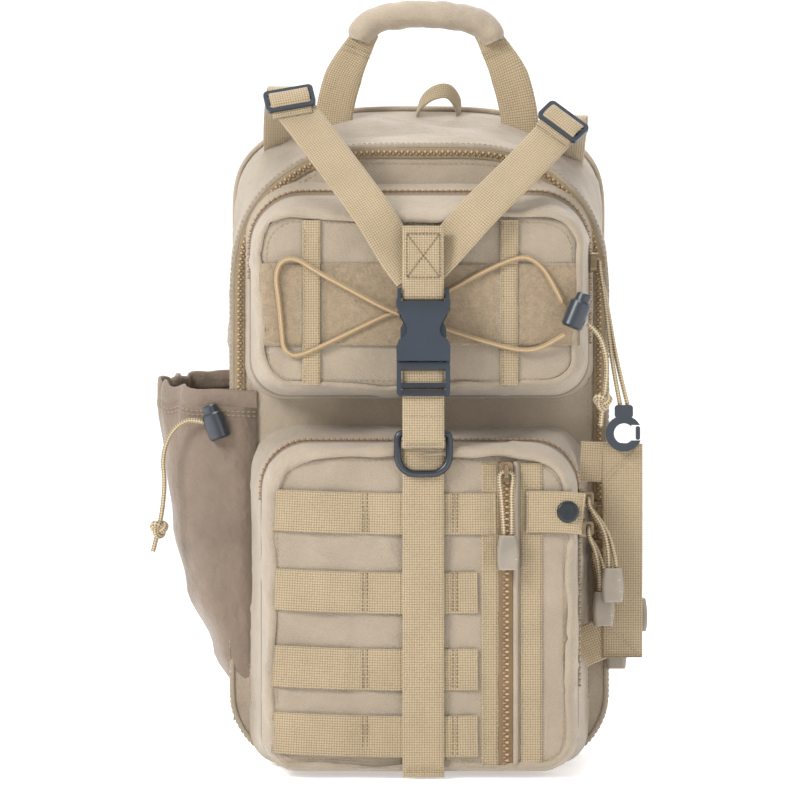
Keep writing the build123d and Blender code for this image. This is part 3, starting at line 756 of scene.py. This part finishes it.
def build_pocket(name, spec, steps, zip_y, nodes, hood):
    """Gusset, hood over the zip, face panel, chain, binding and stitching of one pocket."""
    shell = Sheet()
    rows = []
    for y, inset in steps:
        row = []
        for p in pocket_outline(spec, y, inset):
            above = share_of(p.z, spec["top"][1] - 26, spec["top"][1])
            near_face = exp(-((y - spec["front"]) / 7) ** 2)
            depth = y - (hood * above + folds(p, 1.2, hood + 3)) * near_face
            free = share_of(abs(y - zip_y), 7, 13) if y < spec["root"] - 3 else 0.2
            bulge = folds(Vector((p.x, y, p.z)), 1.9 * free, hood)
            out = Vector((p.x, 0, (p.z - (spec["top"][0] + spec["floor"][0]) / 2))).normalized()
            keep = 0.0 if p.z < 8 else 1
            spot = Vector((p.x + out.x * bulge * keep, depth, p.z + out.z * bulge * keep))
            row.append((spot + wobble(spec, p, near_face) * keep) * MM)
        rows.append(row)
    shell.grid(rows, close=True)
    shell.piece(name + "_gusset_cloth", plain, stands_for=nodes[0])

    face = Sheet()
    rows = []
    rings = [(inset, pocket_outline(spec, spec["front"], inset)) for inset in (0.6, 1.6, 3.2, 5.5, 9, 14)]
    for k, ring in enumerate(drawn_in(rings[-1][1], (spec["floor"][1] + spec["top"][1]) / 2, 14)):
        rings.append((20 + 6 * k, ring))
    for inset, ring in rings:
        share = exp(-inset / 9)
        rows.append([
            (Vector((p.x, face_depth(spec, p.x, p.z), p.z)) + wobble(spec, p, share)) * MM for p in ring
        ])
    face.panel(rows)
    face.piece(name + "_face_cloth", fabric, stands_for=nodes[1])

    band = Sheet()
    band.grid([
        at_depth(pocket_outline(spec, zip_y + shift, -0.9 if abs(shift) < 2.5 else -0.3), zip_y + shift)
        for shift in (-4.2, -3, 0.0, 3, 4.2)
    ], close=True)
    band.piece(name + "_zip_tape", tape, stands_for=nodes[2])
    chain = Sheet()
    ring = at_depth(pocket_outline(spec, zip_y, -1.1, 360), zip_y)
    low_right, low_left = (262, 300) if name == "upper" else (52, 165)
    centre = at(0, zip_y, (spec["top"][0] + spec["floor"][0]) / 2)
    kept = [p for p in ring if p.z > (low_right if p.x > 0 else low_left) * MM]
    teeth(chain, kept, lambda p: p - centre, 1.7, 0.9)
    chain.piece(name + "_zip_teeth", coil)

    seams = Sheet()
    ring = []
    for p in pocket_outline(spec, spec["front"], 5.4, 300):
        spot = Vector((p.x, face_depth(spec, p.x, p.z) - 0.1, p.z)) + wobble(spec, p, exp(-0.6))
        ring.append(spot * MM)
    stitch(seams, ring + ring[:1], TO_FRONT, 3.4, 2.3, 0.28)
    seams.piece(name + "_stitches", thread)


# ---- strips on the pocket faces ----


def on_face(spec, x, z, lift):
    """Point at (x, z) mm, lifted off a pocket's face."""
    return at(x, face_depth(spec, x, z) - lift, z)


def face_line(spec, start, end, lift, steps):
    """Points from start to end, both (x, z), lifted off a pocket's face."""
    (x, z), (x_end, z_end) = start, end
    return [
        on_face(spec, x + (x_end - x) * k / steps, z + (z_end - z) * k / steps, lift)
        for k in range(steps + 1)
    ]


def flat_web(sheet, spec, start, end, width, lift=0.9, thick=1.5, pinches=(), rise=0.0, sag=0.0):
    """Webbing sewn on a pocket face from start to end (x, z), held down at pinches (0 to 1)."""
    line = []
    for k in range(61):
        s = k / 60
        x = start[0] + (end[0] - start[0]) * s
        z = start[1] + (end[1] - start[1]) * s - sag * sin(pi * s)
        free = 1
        for pinch in pinches:
            free = min(free, abs(s - pinch) / 0.09)
        line.append(on_face(spec, x, z, lift + rise * min(free, 1)))
    facing_ribbon(sheet, line, TO_BACK, 0.3, width, thick, start[1])


ROW_Z = (26, 66, 112, 159.5)


def build_face_webbing():
    rows = Sheet()
    tacks = Sheet()
    for z in ROW_Z:
        right = 45.5 if z == ROW_Z[-1] else 34.5
        divisions = (-33, 21)
        pinches = [0.0, 1] + [(x + 88.5) / (right + 88.5) for x in divisions]
        flat_web(rows, LOWER, (-88.5, z + 1.6), (right, z - 0.6), 25, 0.9, 1.5, pinches, 1.1, 1.2)
        for x in divisions:
            for shift in (-1.3, 1.3):
                line = face_line(LOWER, (x + shift, z - 12), (x + shift, z + 12), 1.8, 12)
                stitch(tacks, line, TO_FRONT, 2.4, 1.6, 0.36)
    rows.piece("sewn_rows", web, stands_for="molle_rows")
    tacks.piece("row_stitches", dark_thread)

    strips = Sheet()
    for x in (-65.7, 54.3):
        flat_web(strips, UPPER, (x, 236), (x, 336), 11, 1.2, 1.6)
    for x, width in ((42.2, 10.5), (67, 13)):
        flat_web(strips, LOWER, (x, 7), (x, 189), width, 0.4, 0.8)
    strips.piece("edge_strips", web, stands_for="webbing_strips")

    field = Sheet()
    for x_low, x_high in ((-97, -71.6), (-59.8, 48.8), (59.8, 97)):
        ribbon(field, face_line(UPPER, (x_low, 285), (x_high, 285), 0.9, 24), UPWARD, 0.3, 50, 1.9)
    field.piece("loop_pile_field", pile, stands_for="loop_field")

    edges = Sheet()
    for z in (261.5, 308.5):
        stitch(edges, face_line(UPPER, (-96, z), (96, z), 1.9, 60), TO_FRONT, 3, 2, 0.28)
    for x in (-70.3, -61.2, 50.2, 58.4):
        stitch(edges, face_line(UPPER, (x, 237), (x, 334), 2.1, 30), TO_FRONT, 3, 2, 0.28)
    for x, low, high in ((38.2, 8, 188), (46.4, 8, 188), (61.4, 8, 144), (72.6, 8, 188)):
        stitch(edges, face_line(LOWER, (x, low), (x, high), 1, 40), TO_FRONT, 3, 2, 0.24)
    edges.piece("strip_stitches", thread)

    strips = Sheet()
    flat_web(strips, LOWER, (51.5, 8), (51.5, 190), 10, 0.4, 0.6)
    strips.piece("front_zip_tape", tape, stands_for="front_zip")
    chain = Sheet()
    teeth(chain, face_line(LOWER, (51.5, 9), (51.5, 190), 0.6, 60), TO_FRONT, 2, 0.8)
    chain.piece("front_zip_teeth", coil)
    tube("front_zip_piping", face_line(LOWER, (57.4, 8), (57.4, 190), 1.2, 60), 1.5 * MM, plain, 8)


# ---- buckle line ----

LEAN = radians(11.2)
STRAP_UP = Vector((0, sin(LEAN), cos(LEAN)))
STRAP_OUT = Vector((0, -cos(LEAN), sin(LEAN)))
STRAP_START = at(2, -98.2, 205)


def strap_point(u, v, w):
    """Point in the buckle's own frame: across, up along the strap, out to the front (mm)."""
    return STRAP_START + X_AXIS * u * MM + STRAP_UP * v * MM + STRAP_OUT * w * MM


def up_strap(*stops):
    """Points on the strap's middle, each given as (up, out) in mm."""
    return [strap_point(0, v, w) for v, w in stops]


def build_buckle_line():
    front = Sheet()
    line = [at(2, y, z) for y, z in (
        (-88.2, 1), (-88.6, 20), (-89.2, 60), (-88.8, 110), (-89, 160), (-88.2, 195), (-87.9, 206),
        (-89.4, 210.2), (-92.6, 210), (-94.1, 206.5), (-92.4, 201.5), (-90.2, 198),
    )]
    ribbon(front, smooth_line(line, 1.6), X_AXIS, 0.4)
    front.piece("centre_strap", web, "front_strap")
    stitched("centre_strap_hem", thread, [[at(-9, -89.4, z), at(13, -89.4, z)] for z in (4.5, 7)])

    lower_web = Sheet()
    line = up_strap((-6.5, -1.6), (0, -1.5), (12, -1.2), (24, -1.6), (32, -1.65), (40.5, -1.65))
    ribbon(lower_web, smooth_line(line, 1.6), X_AXIS, 0.25)
    lower_web.piece("buckle_strap", web, "buckle_web", "buckle_half")
    seams = [[strap_point(-11, v, -0.6), strap_point(11, v, -0.6)] for v in (-4.4, 12.5)]
    stitched("buckle_strap_stitches", thread, seams, STRAP_OUT, "buckle_half", 2, 1.6, 0.3)

    tab = Sheet()
    line = up_strap((126, -1), (110, -0.9), (94, -0.9), (89, -1.6), (86.2, -2.6), (83.9, -1.2), (83.9, 1.2),
                    (86.2, 2.6), (89.5, 2.2), (94, 1.8), (104, 2.6), (115, 3.6), (128.5, 4.4))
    ribbon(tab, smooth_line(line, 1.4), X_AXIS, 0.2)
    tab.piece("yoke_tab_web", web, stands_for="yoke_tab")
    corners = [(-10, 97), (10, 97), (10, 123.5), (-10, 123.5)]
    edges = list(zip(corners, corners[1:] + corners[:1]))
    edges += [(corners[0], corners[2]), (corners[1], corners[3])]
    seams = [[strap_point(u, v, 2.7 + (v - 94) * 0.082) for u, v in ends] for ends in edges]
    stitched("yoke_box_stitch", dark_thread, seams, STRAP_OUT, "pack", 2.2, 1.7, 0.34)


YOKE_LEAN = radians(28.6)
YOKE_UP = Vector((0, sin(YOKE_LEAN), cos(YOKE_LEAN)))
YOKE_OUT = Vector((0, -cos(YOKE_LEAN), sin(YOKE_LEAN)))
YOKE_START = at(2, -77.5, 329.5)


def yoke_point(u, v, w):
    return YOKE_START + X_AXIS * u * MM + YOKE_UP * v * MM + YOKE_OUT * w * MM


def build_yoke():
    straps = Sheet()
    left_run = [yoke_point(-82, 92, 0.1), yoke_point(-60, 58, 0.9), yoke_point(-32, 14, 0.6)]
    left_run += [strap_point(-15, 112, -2.6), strap_point(-6, 99.4, -2.6)]
    right_run = [yoke_point(86, 75, 0.4), yoke_point(62, 45, 1.2), yoke_point(34, 13, 0.6)]
    right_run += [strap_point(14, 117, -4.3), strap_point(0, 102, -4.3)]
    for line, seed in ((left_run, 1), (right_run, 5)):
        facing_ribbon(straps, smooth_line(line), YOKE_OUT, 0.5, seed=seed)
    for u, v, tilt in ((-82, 92, 102), (86, 75, 48)):
        run = X_AXIS * cos(radians(tilt)) + YOKE_UP * sin(radians(tilt))
        line = [yoke_point(u, v, w) + run * reach * MM for reach, w in (
            (-11, 1.6), (-6.5, 3), (-4, 6.2), (0, 6.9), (4, 6.2), (5.6, 3.2), (4.6, 1.2))]
        ribbon(straps, smooth_line(line, 1), run.cross(YOKE_OUT), 0.1, 24.5, 1.4, tilt)
    straps.piece("yoke_webbing", web, stands_for="yoke_straps")


# ---- top: anchors, handle ----


def build_top():
    anchors = Sheet()
    for points in (
        (at(-80, -34, 413), at(-81, -27, 419), at(-82, -14, 421), at(-84, 2, 416), at(-86, 26, 404),
         at(-87, 44, 393), at(-87, 58, 386)),
        (at(88, -41, 396), at(90, -34, 401), at(92, -20, 403), at(93, -4, 399), at(93, 20, 391),
         at(93, 40, 382), at(92, 54, 378)),
    ):
        facing_ribbon(anchors, smooth_line(points), UPWARD, 0.5)
    line = [at(-2, 62, 408), at(2, 52, 418), at(10, 47, 424), at(19, 48, 425), at(25, 55, 418),
            at(26, 62, 408)]
    ribbon(anchors, smooth_line(line, 1.5), Vector((0.2, 0.35, 1)), 0.2, 10, 1.4)
    for side in (-1, 1):
        x = side * 52
        line = [at(x, 109, 127), at(x, 106, 100), at(x, 97, 70), at(x, 87, 40), at(x, 82, 17)]
        ribbon(anchors, smooth_line(line), X_AXIS, 0.6, seed=x)
        line = [at(x, 119, 129), at(x, 118, 100), at(x - side * 2, 112, 72)]
        ribbon(anchors, smooth_line(line), X_AXIS, 0.6, seed=x)
    anchors.piece("anchor_webbing", web, stands_for="strap_anchors")

    legs = Sheet()
    for side in (-1, 1):
        line = [at(5 + side * 60.5, 45, 393), at(5 + side * 58.5, 44.6, 414), at(5 + side * 52.5, 45, 436),
                at(5 + side * 42, 45, 456), at(5 + side * 37, 45, 464)]
        facing_ribbon(legs, smooth_line(line, 1.8), TO_BACK, 0.3, 24, 2.4, narrow=0.62)
    legs.piece("handle_webbing", web, "carry_handle", "handle")
    seams = []
    for side in (-1, 1):
        for drop in (0.0, 3):
            spot = at(5 + side * (44 + drop * 0.4), 43.2, 452 - drop)
            run = Vector((side * 0.93, 0, 0.36)) * 10 * MM
            seams.append([spot - run, spot + run])
    stitched("handle_stitches", thread, seams, TO_FRONT, "handle")

    grip = Sheet()
    line = smooth_line([at(x, 45, z) for x, z in (
        (-38, 456.5), (-35, 464), (-27, 470.5), (-12, 473.5), (5, 474), (22, 473), (37, 469.5), (45, 463.5),
        (48.5, 456),
    )], 1.3)
    rows = []
    last = len(line) - 1
    for i, here in enumerate(line):
        s = i / last
        up = heading(line, i).cross(TO_BACK).normalized() * -1
        swell = min(1, 0.72 + 6 * min(s, 1 - s))
        row = []
        for k in range(28):
            a = 2 * pi * k / 28
            pucker = creased(a * 1.5 + here.x * 260, 0.45) + noise.noise(here * 120 + Vector((a, 0, 0))) * 0.8
            r_side, r_up = 10.6 * swell + pucker, 8.6 * swell + pucker
            row.append(here + TO_BACK * cos(a) * r_side * MM + up * sin(a) * r_up * MM)
        rows.append(row)
    grip.bar(rows)
    thing = grip.piece("grip_cloth", plain, "handle_grip", "handle")
    under = [p + at(0, -8.8, -4.2) for p in line[3:-3]]
    stitched("grip_seam", thread, [under], Vector((0, -0.8, -0.6)), "handle", 3, 2, 0.28)


# ---- shoulder straps ----


def strap_half(s):
    """Half a shoulder strap's width in mm, which tapers towards its lower end at s = 1."""
    return 27.5 - 7 * share_of(s, 0.82, 1) ** 1.5


def build_shoulder_straps():
    for side, name in ((-1, "left"), (1, "right")):
        x = 52 * side
        centre = smooth_line([at(x, y, z) for y, z in (
            (84, 396), (97, 393), (110, 383), (118.5, 362), (123, 325), (125, 270), (124, 210), (120, 160),
            (117.5, 131),
        )], 4)
        strap = Sheet()
        rows = []
        last = len(centre) - 1
        for i, here in enumerate(centre):
            s = i / last
            up = X_AXIS.cross(heading(centre, i)).normalized()
            half = strap_half(s)
            end = min(1, min(s, 1 - s) * 22 + 0.35)
            row = []
            for k in range(36):
                a = 2 * pi * k / 36
                c, d = cos(a), sin(a)
                u = copysign(abs(c) ** 0.45, c) * half
                crown = (1 - abs(u / half) ** 3) * 0.8 + 0.25
                wrinkle = noise.noise(Vector((u * 0.04, i * 0.25, side))) * 0.5
                w = copysign(abs(d) ** 0.6, d) * (5.2 * crown * end + wrinkle)
                row.append(here + X_AXIS * u * MM + up * w * MM)
            rows.append(row)
        strap.bar(rows)
        stands = "shoulder_straps" if side < 0 else None
        thing = strap.piece(f"shoulder_pad_{name}", pad, stands_for=stands)
        edge = [
            [here + X_AXIS * turn * strap_half(i / last) * MM for i, here in enumerate(centre)]
            for turn in (-1, 1)
        ]
        tube(f"strap_binding_{name}", edge[0] + edge[1][::-1], 2 * MM, binding, 8)
        top = Sheet()
        line = [p + at(0, 5.8, 0.5) for p in centre[6:-2]]
        ribbon(top, line, X_AXIS, 0.2, thick=1.4, seed=side)
        top.piece(f"strap_rail_{name}", binding)


# ---- bottle pocket ----


def bottle_reach(z):
    """How far the pocket stands out to the side at height z (mm), as X."""
    steps = ((22, 106), (40, 114), (70, 130), (110, 147), (150, 156), (190, 162), (225, 163.5), (245, 162))
    for (z0, r0), (z1, r1) in zip(steps, steps[1:]):
        if z <= z1:
            t = (z - z0) / (z1 - z0)
            t = t * t * (3 - 2 * t)
            return r0 + (r1 - r0) * max(t, 0)
    return steps[-1][1]


def bottle_row(z, s_count, inset=0.0, rim=0.0):
    """One level of the pocket wall, from its front seam round to its back seam."""
    row = []
    reach = bottle_reach(z) - inset
    near = -18 + 14 * max(0, (70 - z) / 50) ** 1.3 + inset
    far = 64 - 18 * max(0, (70 - z) / 50) ** 1.3 - inset
    x_front, x_back = 101, 119
    top = share_of(z, 130, 230)
    for k in range(s_count + 1):
        s = k / s_count
        a = pi * s
        out = sin(a) ** 0.55
        inner = x_front + (x_back - x_front) * s
        x = inner + (reach - inner) * out
        y = near + (far - near) * (0.5 - 0.5 * cos(a))
        fold = noise.noise(Vector((s * 5.2, z * 0.012, 4))) * 8 * sin(a) * (0.4 + 0.6 * top)
        gather = sin(s * 46 + z * 0.02 + 2 * sin(s * 9)) * 2.3 * rim * sin(a) ** 0.5
        x = min(x + fold * 0.7 + gather, 166)
        y_push = (fold + gather) * (-0.6 if s < 0.5 else 0.6)
        scallop = 2.2 * rim * sin(s * 38) * sin(a)
        row.append(at(-x, y + y_push * sin(a), z + scallop - 10 * rim * (1 - s) + 4 * rim * s))
    return row


def build_bottle_pocket():
    wall = Sheet()
    rows = []
    for k in range(34):
        z = 22 + (236 - 22) * k / 33
        rows.append(bottle_row(z, 46, 0.0, share_of(z, 196, 232)))
    wall.grid(rows)
    thing = wall.piece("bottle_cloth_wall", lining, stands_for="bottle_pocket")
    thick = thing.modifiers.new("thickness", "SOLIDIFY")
    thick.thickness = 1.3 * MM
    thick.offset = 1

    hem = Sheet()
    rows = []
    for k in range(15):
        a = 2 * pi * k / 14
        z = 237 + 6 * sin(a)
        rows.append(bottle_row(z, 46, 1.2 + 2 * cos(a), 1))
    hem.grid(rows)
    hem.piece("bottle_hem_roll", lining, stands_for="bottle_hem")
    floor = Sheet()
    low = bottle_row(24, 46)
    centre = sum(low, Vector()) / len(low)
    floor.grid([low, [p.lerp(centre, 0.5) for p in low], [p.lerp(centre, 0.98) for p in low]])
    floor.piece("bottle_floor", lining)
    seams = Sheet()
    for z in (226, 228.6):
        row = bottle_row(z, 60, -0.8, 0.9)
        middle = at(-120, 24, z)
        stitch(seams, row, lambda p: p - middle, 3.2, 2.2, 0.3)
    seams.piece("bottle_stitches", thread)


# ---- grab loop ----


def build_grab_loop():
    loop = Sheet()
    y = -42
    for a, b, lift in (((98.5, 189.5), (136, 188), 0.4), ((124.5, 200), (124.5, 69), -0.7),
                       ((130, 88), (98.5, 75), 0.6)):
        line = [at(a[0] + (b[0] - a[0]) * k / 30, y + lift, a[1] + (b[1] - a[1]) * k / 30) for k in range(31)]
        facing_ribbon(loop, line, TO_BACK, 0.5, 24.5, 1.1, a[1])
    loop.piece("grab_loop_web", web, stands_for="grab_loop")
    seams = [[at(113, y - 2.1, inner), at(136, y - 2.1, outer)] for inner, outer in ((178, 200), (92, 69))]
    stitched("grab_loop_stitches", thread, seams)


# ---- cords ----


def route_line(name, points):
    """Centreline of a cord: a NURBS spline with the route's points as control points."""
    curve = bpy.data.curves.new(name + "_route", "CURVE")
    curve.dimensions = "3D"
    curve.resolution_u = 12
    spline = curve.splines.new("NURBS")
    spline.points.add(len(points) - 1)
    for knot, spot in zip(spline.points, points):
        knot.co = (*spot, 1)
    spline.order_u = 3
    spline.use_endpoint_u = True
    holder = added(name + "_route", curve)
    mesh = bpy.data.meshes.new_from_object(holder)
    line = [v.co.copy() for v in mesh.vertices]
    bpy.data.objects.remove(holder)
    bpy.data.meshes.remove(mesh)
    return line


def knot_into(sheet, centre, radius, seed):
    """Overhand knot: a short tube wound twice round itself."""
    line = []
    for k in range(56):
        a = 2 * pi * k / 55
        line.append(centre + Vector((
            (sin(a) + 2 * sin(2 * a)) * 0.33,
            -sin(3 * a) * 0.45,
            (cos(a) - 2 * cos(2 * a)) * 0.33 + seed,
        )) * radius)
    tube_into(sheet, line, radius * 0.52, 8, True)


BUNGEE_Y = -66.2
OVER_Y = -69.4
BUNGEE = [
    (86.5, BUNGEE_Y - 3.5, 285.5), (80, BUNGEE_Y - 0.5, 299), (73, BUNGEE_Y, 309),
    (64.5, BUNGEE_Y, 314), (55, BUNGEE_Y, 312), (36, BUNGEE_Y, 303.5), (16, BUNGEE_Y, 292),
    (-16, BUNGEE_Y, 280.5), (-46, BUNGEE_Y, 266), (-66, BUNGEE_Y, 256.5), (-76, BUNGEE_Y, 253),
    (-82.5, BUNGEE_Y, 257.5), (-83.5, BUNGEE_Y, 268), (-85.5, BUNGEE_Y - 0.4, 289),
    (-87.5, BUNGEE_Y - 0.8, 302), (-84, BUNGEE_Y - 1.2, 311.5), (-75, BUNGEE_Y - 1.6, 313),
    (-63, BUNGEE_Y - 2.4, 305), (-41, OVER_Y, 293), (-16, OVER_Y, 279.5), (14, OVER_Y, 270.5),
    (40, OVER_Y + 1.6, 262), (60, OVER_Y + 2.4, 257), (71, OVER_Y + 2, 257.5),
    (81, OVER_Y + 1, 262.5), (88, OVER_Y - 1, 267),
]
BUNGEE_TAIL = [
    (101.5, -74, 273), (107.5, -73, 268), (111.5, -71, 259), (113.5, -69.5, 248),
    (112.5, -69, 235), (110.5, -68.5, 222), (109.5, -68.5, 211),
]
BOTTLE_CORD = [
    (-133.5, -21, 213), (-141, -21.5, 215.5), (-150, -21, 211.5), (-156.5, -20, 202.5),
    (-159.5, -19, 190), (-158, -18.5, 177), (-159, -18, 163), (-161.5, -17.5, 148),
    (-165.5, -17, 133),
]


def build_loose_cords():
    line = route_line("bungee", [at(*p) for p in BUNGEE])
    tube("shock_cord_lacing", line, 1.5 * MM, shock, 10, stands_for="bungee")
    for name, points, node, knot_at in (
        ("shock_cord_tail", BUNGEE_TAIL, "bungee_tail", at(110.7, -68.7, 226)),
        ("bottle_draw_cord", BOTTLE_CORD, "bottle_cord", at(-161.6, -17.6, 147)),
    ):
        line = route_line(name, [at(*p) for p in points])
        thing = tube(name, line, 1.45 * MM, braid, 10, stands_for=node)
        knot = Sheet()
        knot_into(knot, knot_at, 4.2 * MM, 0.0)
        tied = knot.piece(name + "_knot", braid, weld=True)


ZIP_STAND = 6.1
SLIDERS = {
    "front": (at(51.5, -87, 184), X_AXIS, TO_FRONT),
    "lower_high": (at(96.5, -59, 167), TO_BACK, X_AXIS),
    "lower_low": (at(96.5, -59, 149), TO_BACK, X_AXIS),
    "upper": (at(105, -31, 312), TO_BACK, X_AXIS),
    "main_high": (at(111.5, -15, 158), X_AXIS, TO_FRONT),
    "main_low": (at(111.5, -15, 134), X_AXIS, TO_FRONT),
}
HANGS = {
    "front": ((52.5, -93.1, 146), ((52.2, -93.1, 158), (51.5, -93.1, 172))),
    "lower_high": ((117, -64.5, 125), ((115.8, -62.5, 138), (111.5, -60, 151))),
    "lower_low": ((112, -54.8, 110), ((111, -56, 122), (107.5, -58, 136))),
    "main_high": ((134, -33, 105), ((130, -31, 122), (120.5, -27.5, 142))),
    "main_low": ((122, -21.5, 81), ((120, -21.5, 97), (115, -21.5, 115))),
    "upper": ((125, -46.5, 224), ((121.5, -46.5, 240), (118.5, -45, 256),
                                      (116, -40, 276), (113.5, -34.5, 295))),
}
STRAND = 2.3


def build_pulls():
    for name, (top, middle) in HANGS.items():
        origin, side, out = SLIDERS[name]
        eye = origin + out * ZIP_STAND * MM
        end = at(*top)
        first, second = [], []
        for spread, points in ((-1, first), (1, second)):
            points.append(end + X_AXIS * spread * STRAND * MM)
            for index, spot in enumerate(middle):
                share = (index + 1) / (len(middle) + 1)
                fan = X_AXIS * (spread * STRAND * (1 - share)) + side * (spread * 3.6 * share)
                points.append(at(*spot) + fan * MM)
            points.append(eye + side * (spread * 4.2 * MM) - Vector((0, 0, 4.6 * MM)))
            points.append(eye + side * (spread * 3.3 * MM))
        line = route_line("pull_" + name, first + second[::-1])
        thing = tube("pull_cord_" + name, line, 1.35 * MM, braid, 10, body="pull_" + name,
                     stands_for="cord_" + name)


# ---- snap flap and carried-over hardware ----


def build_snap_flap():
    flap = Sheet()
    line = [at(63.4, -87.5, 160), at(70, -87.7, 160), at(80, -88, 160), at(90, -87.6, 159.4),
            at(98, -87, 158.6)]
    ribbon(flap, smooth_line(line, 1.6), UPWARD, 0.2)
    flap.piece("snap_flap_web", web, "snap_tab", "snap_flap")
    seams = [[at(x, -88.3, 149), at(x, -88.3, 170)] for x in (64.5, 96)]
    stitched("snap_flap_stitches", thread, seams, TO_FRONT, "snap_flap")


def finish_hardware():
    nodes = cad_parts
    kinds = {
        black: ["buckle_female", "buckle_male", "prong_left", "prong_right", "strap_adjusters", "bungee_lock",
                "bungee_button", "bottle_lock", "bottle_button", "hook_body", "hook_gate", "d_ring"],
        snap: ["snap_cap"],
        zinc: ["slider_" + name for name in HANGS],
        taupe: ["pull_" + name for name in HANGS if name != "upper"],
    }
    for material, names in kinds.items():
        for name in names:
            thing = nodes[name]
            if thing.material_slots:
                for held in thing.material_slots:
                    held.material = material
            else:
                thing.data.materials.append(material)
            soften = thing.modifiers.new("edges", "BEVEL")
            soften.width = 0.7 * MM if material is black else 0.4 * MM
            soften.segments = 3
            soften.limit_method = "ANGLE"
            soften.angle_limit = radians(35)


build_loose_cords()
build_pulls()
build_body()
build_back()
build_pocket("upper", UPPER, [(-14.6, -1.5), (-18, -0.6), (-24, 0.2), (-28, 0.2), (-34, 0.1), (-38, -1),
                              (-46, -1.4), (-54, -1.2), (-60, -0.6), (-63, 0.6), (-64, 2.2), (-63, 3.6)],
             -31, ("upper_gusset", "upper_face", "upper_zip"), 1.5)
build_pocket("lower", LOWER, [(-14.6, -1.5), (-22, -0.6), (-36, 0.3), (-50, 0.3), (-56, 0.2), (-62, 0.1),
                              (-66, -1.2), (-74, -1.6), (-80, -1.2), (-84, -0.2), (-86.2, 1.6), (-85.6, 3.4),
                              (-84.4, 4.6)],
             -59, ("lower_gusset", "lower_face", "lower_zip"), 2.5)
build_face_webbing()
build_buckle_line()
build_yoke()
build_top()
build_shoulder_straps()
build_bottle_pocket()
build_grab_loop()
build_snap_flap()
finish_hardware()

# ---- studio ----


def build_studio():
    """Paper floor that curves up into a backdrop, a white world and four soft lights."""
    reach, bend_y, bend, top, drop = 25000, 5000, 2000, 6000, 0.4
    curve = [radians(9 * k) for k in range(1, 11)]
    sweep = [(bend_y + bend * sin(a), bend - bend * cos(a)) for a in curve]
    floor = Sheet()
    floor.grid([
        [at(x, y, z - drop) for x in (-reach, 0, reach)]
        for y, z in [(-reach, 0), (bend_y, 0)] + sweep + [(bend_y + bend, top)]
    ])
    s = Shader("studio_paper", roughness=0.95)
    s.bsdf.inputs["Emission Color"].default_value = WHITE
    s.bsdf.inputs["Emission Strength"].default_value = 0.42
    s.bsdf.inputs["Base Color"].default_value = (0.92, 0.92, 0.92, 1)
    added("studio_floor", floor.mesh("studio_floor", s.mat))
    world = bpy.data.worlds.new("studio")
    bpy.context.scene.world = world
    world.use_nodes = True
    world.node_tree.nodes["Background"].inputs[0].default_value = WHITE
    world.node_tree.nodes["Background"].inputs[1].default_value = 0.62
    for name, spot, size, power in (
        ("key", (-1300, -1200, 1300), 700, 36), ("fill", (1300, -1300, 700), 1100, 7),
        ("top", (0, 200, 1900), 1000, 18), ("rear", (300, 1300, 1200), 1000, 16),
    ):
        light = bpy.data.lights.new(name, "AREA")
        light.size = size * MM
        light.energy = power
        lamp = added(name, light)
        lamp.location = at(*spot)
        lamp.rotation_euler = (at(0, 0, 220) - lamp.location).to_track_quat("-Z", "Y").to_euler()


build_studio()
bpy.context.scene.view_settings.view_transform = "Standard"
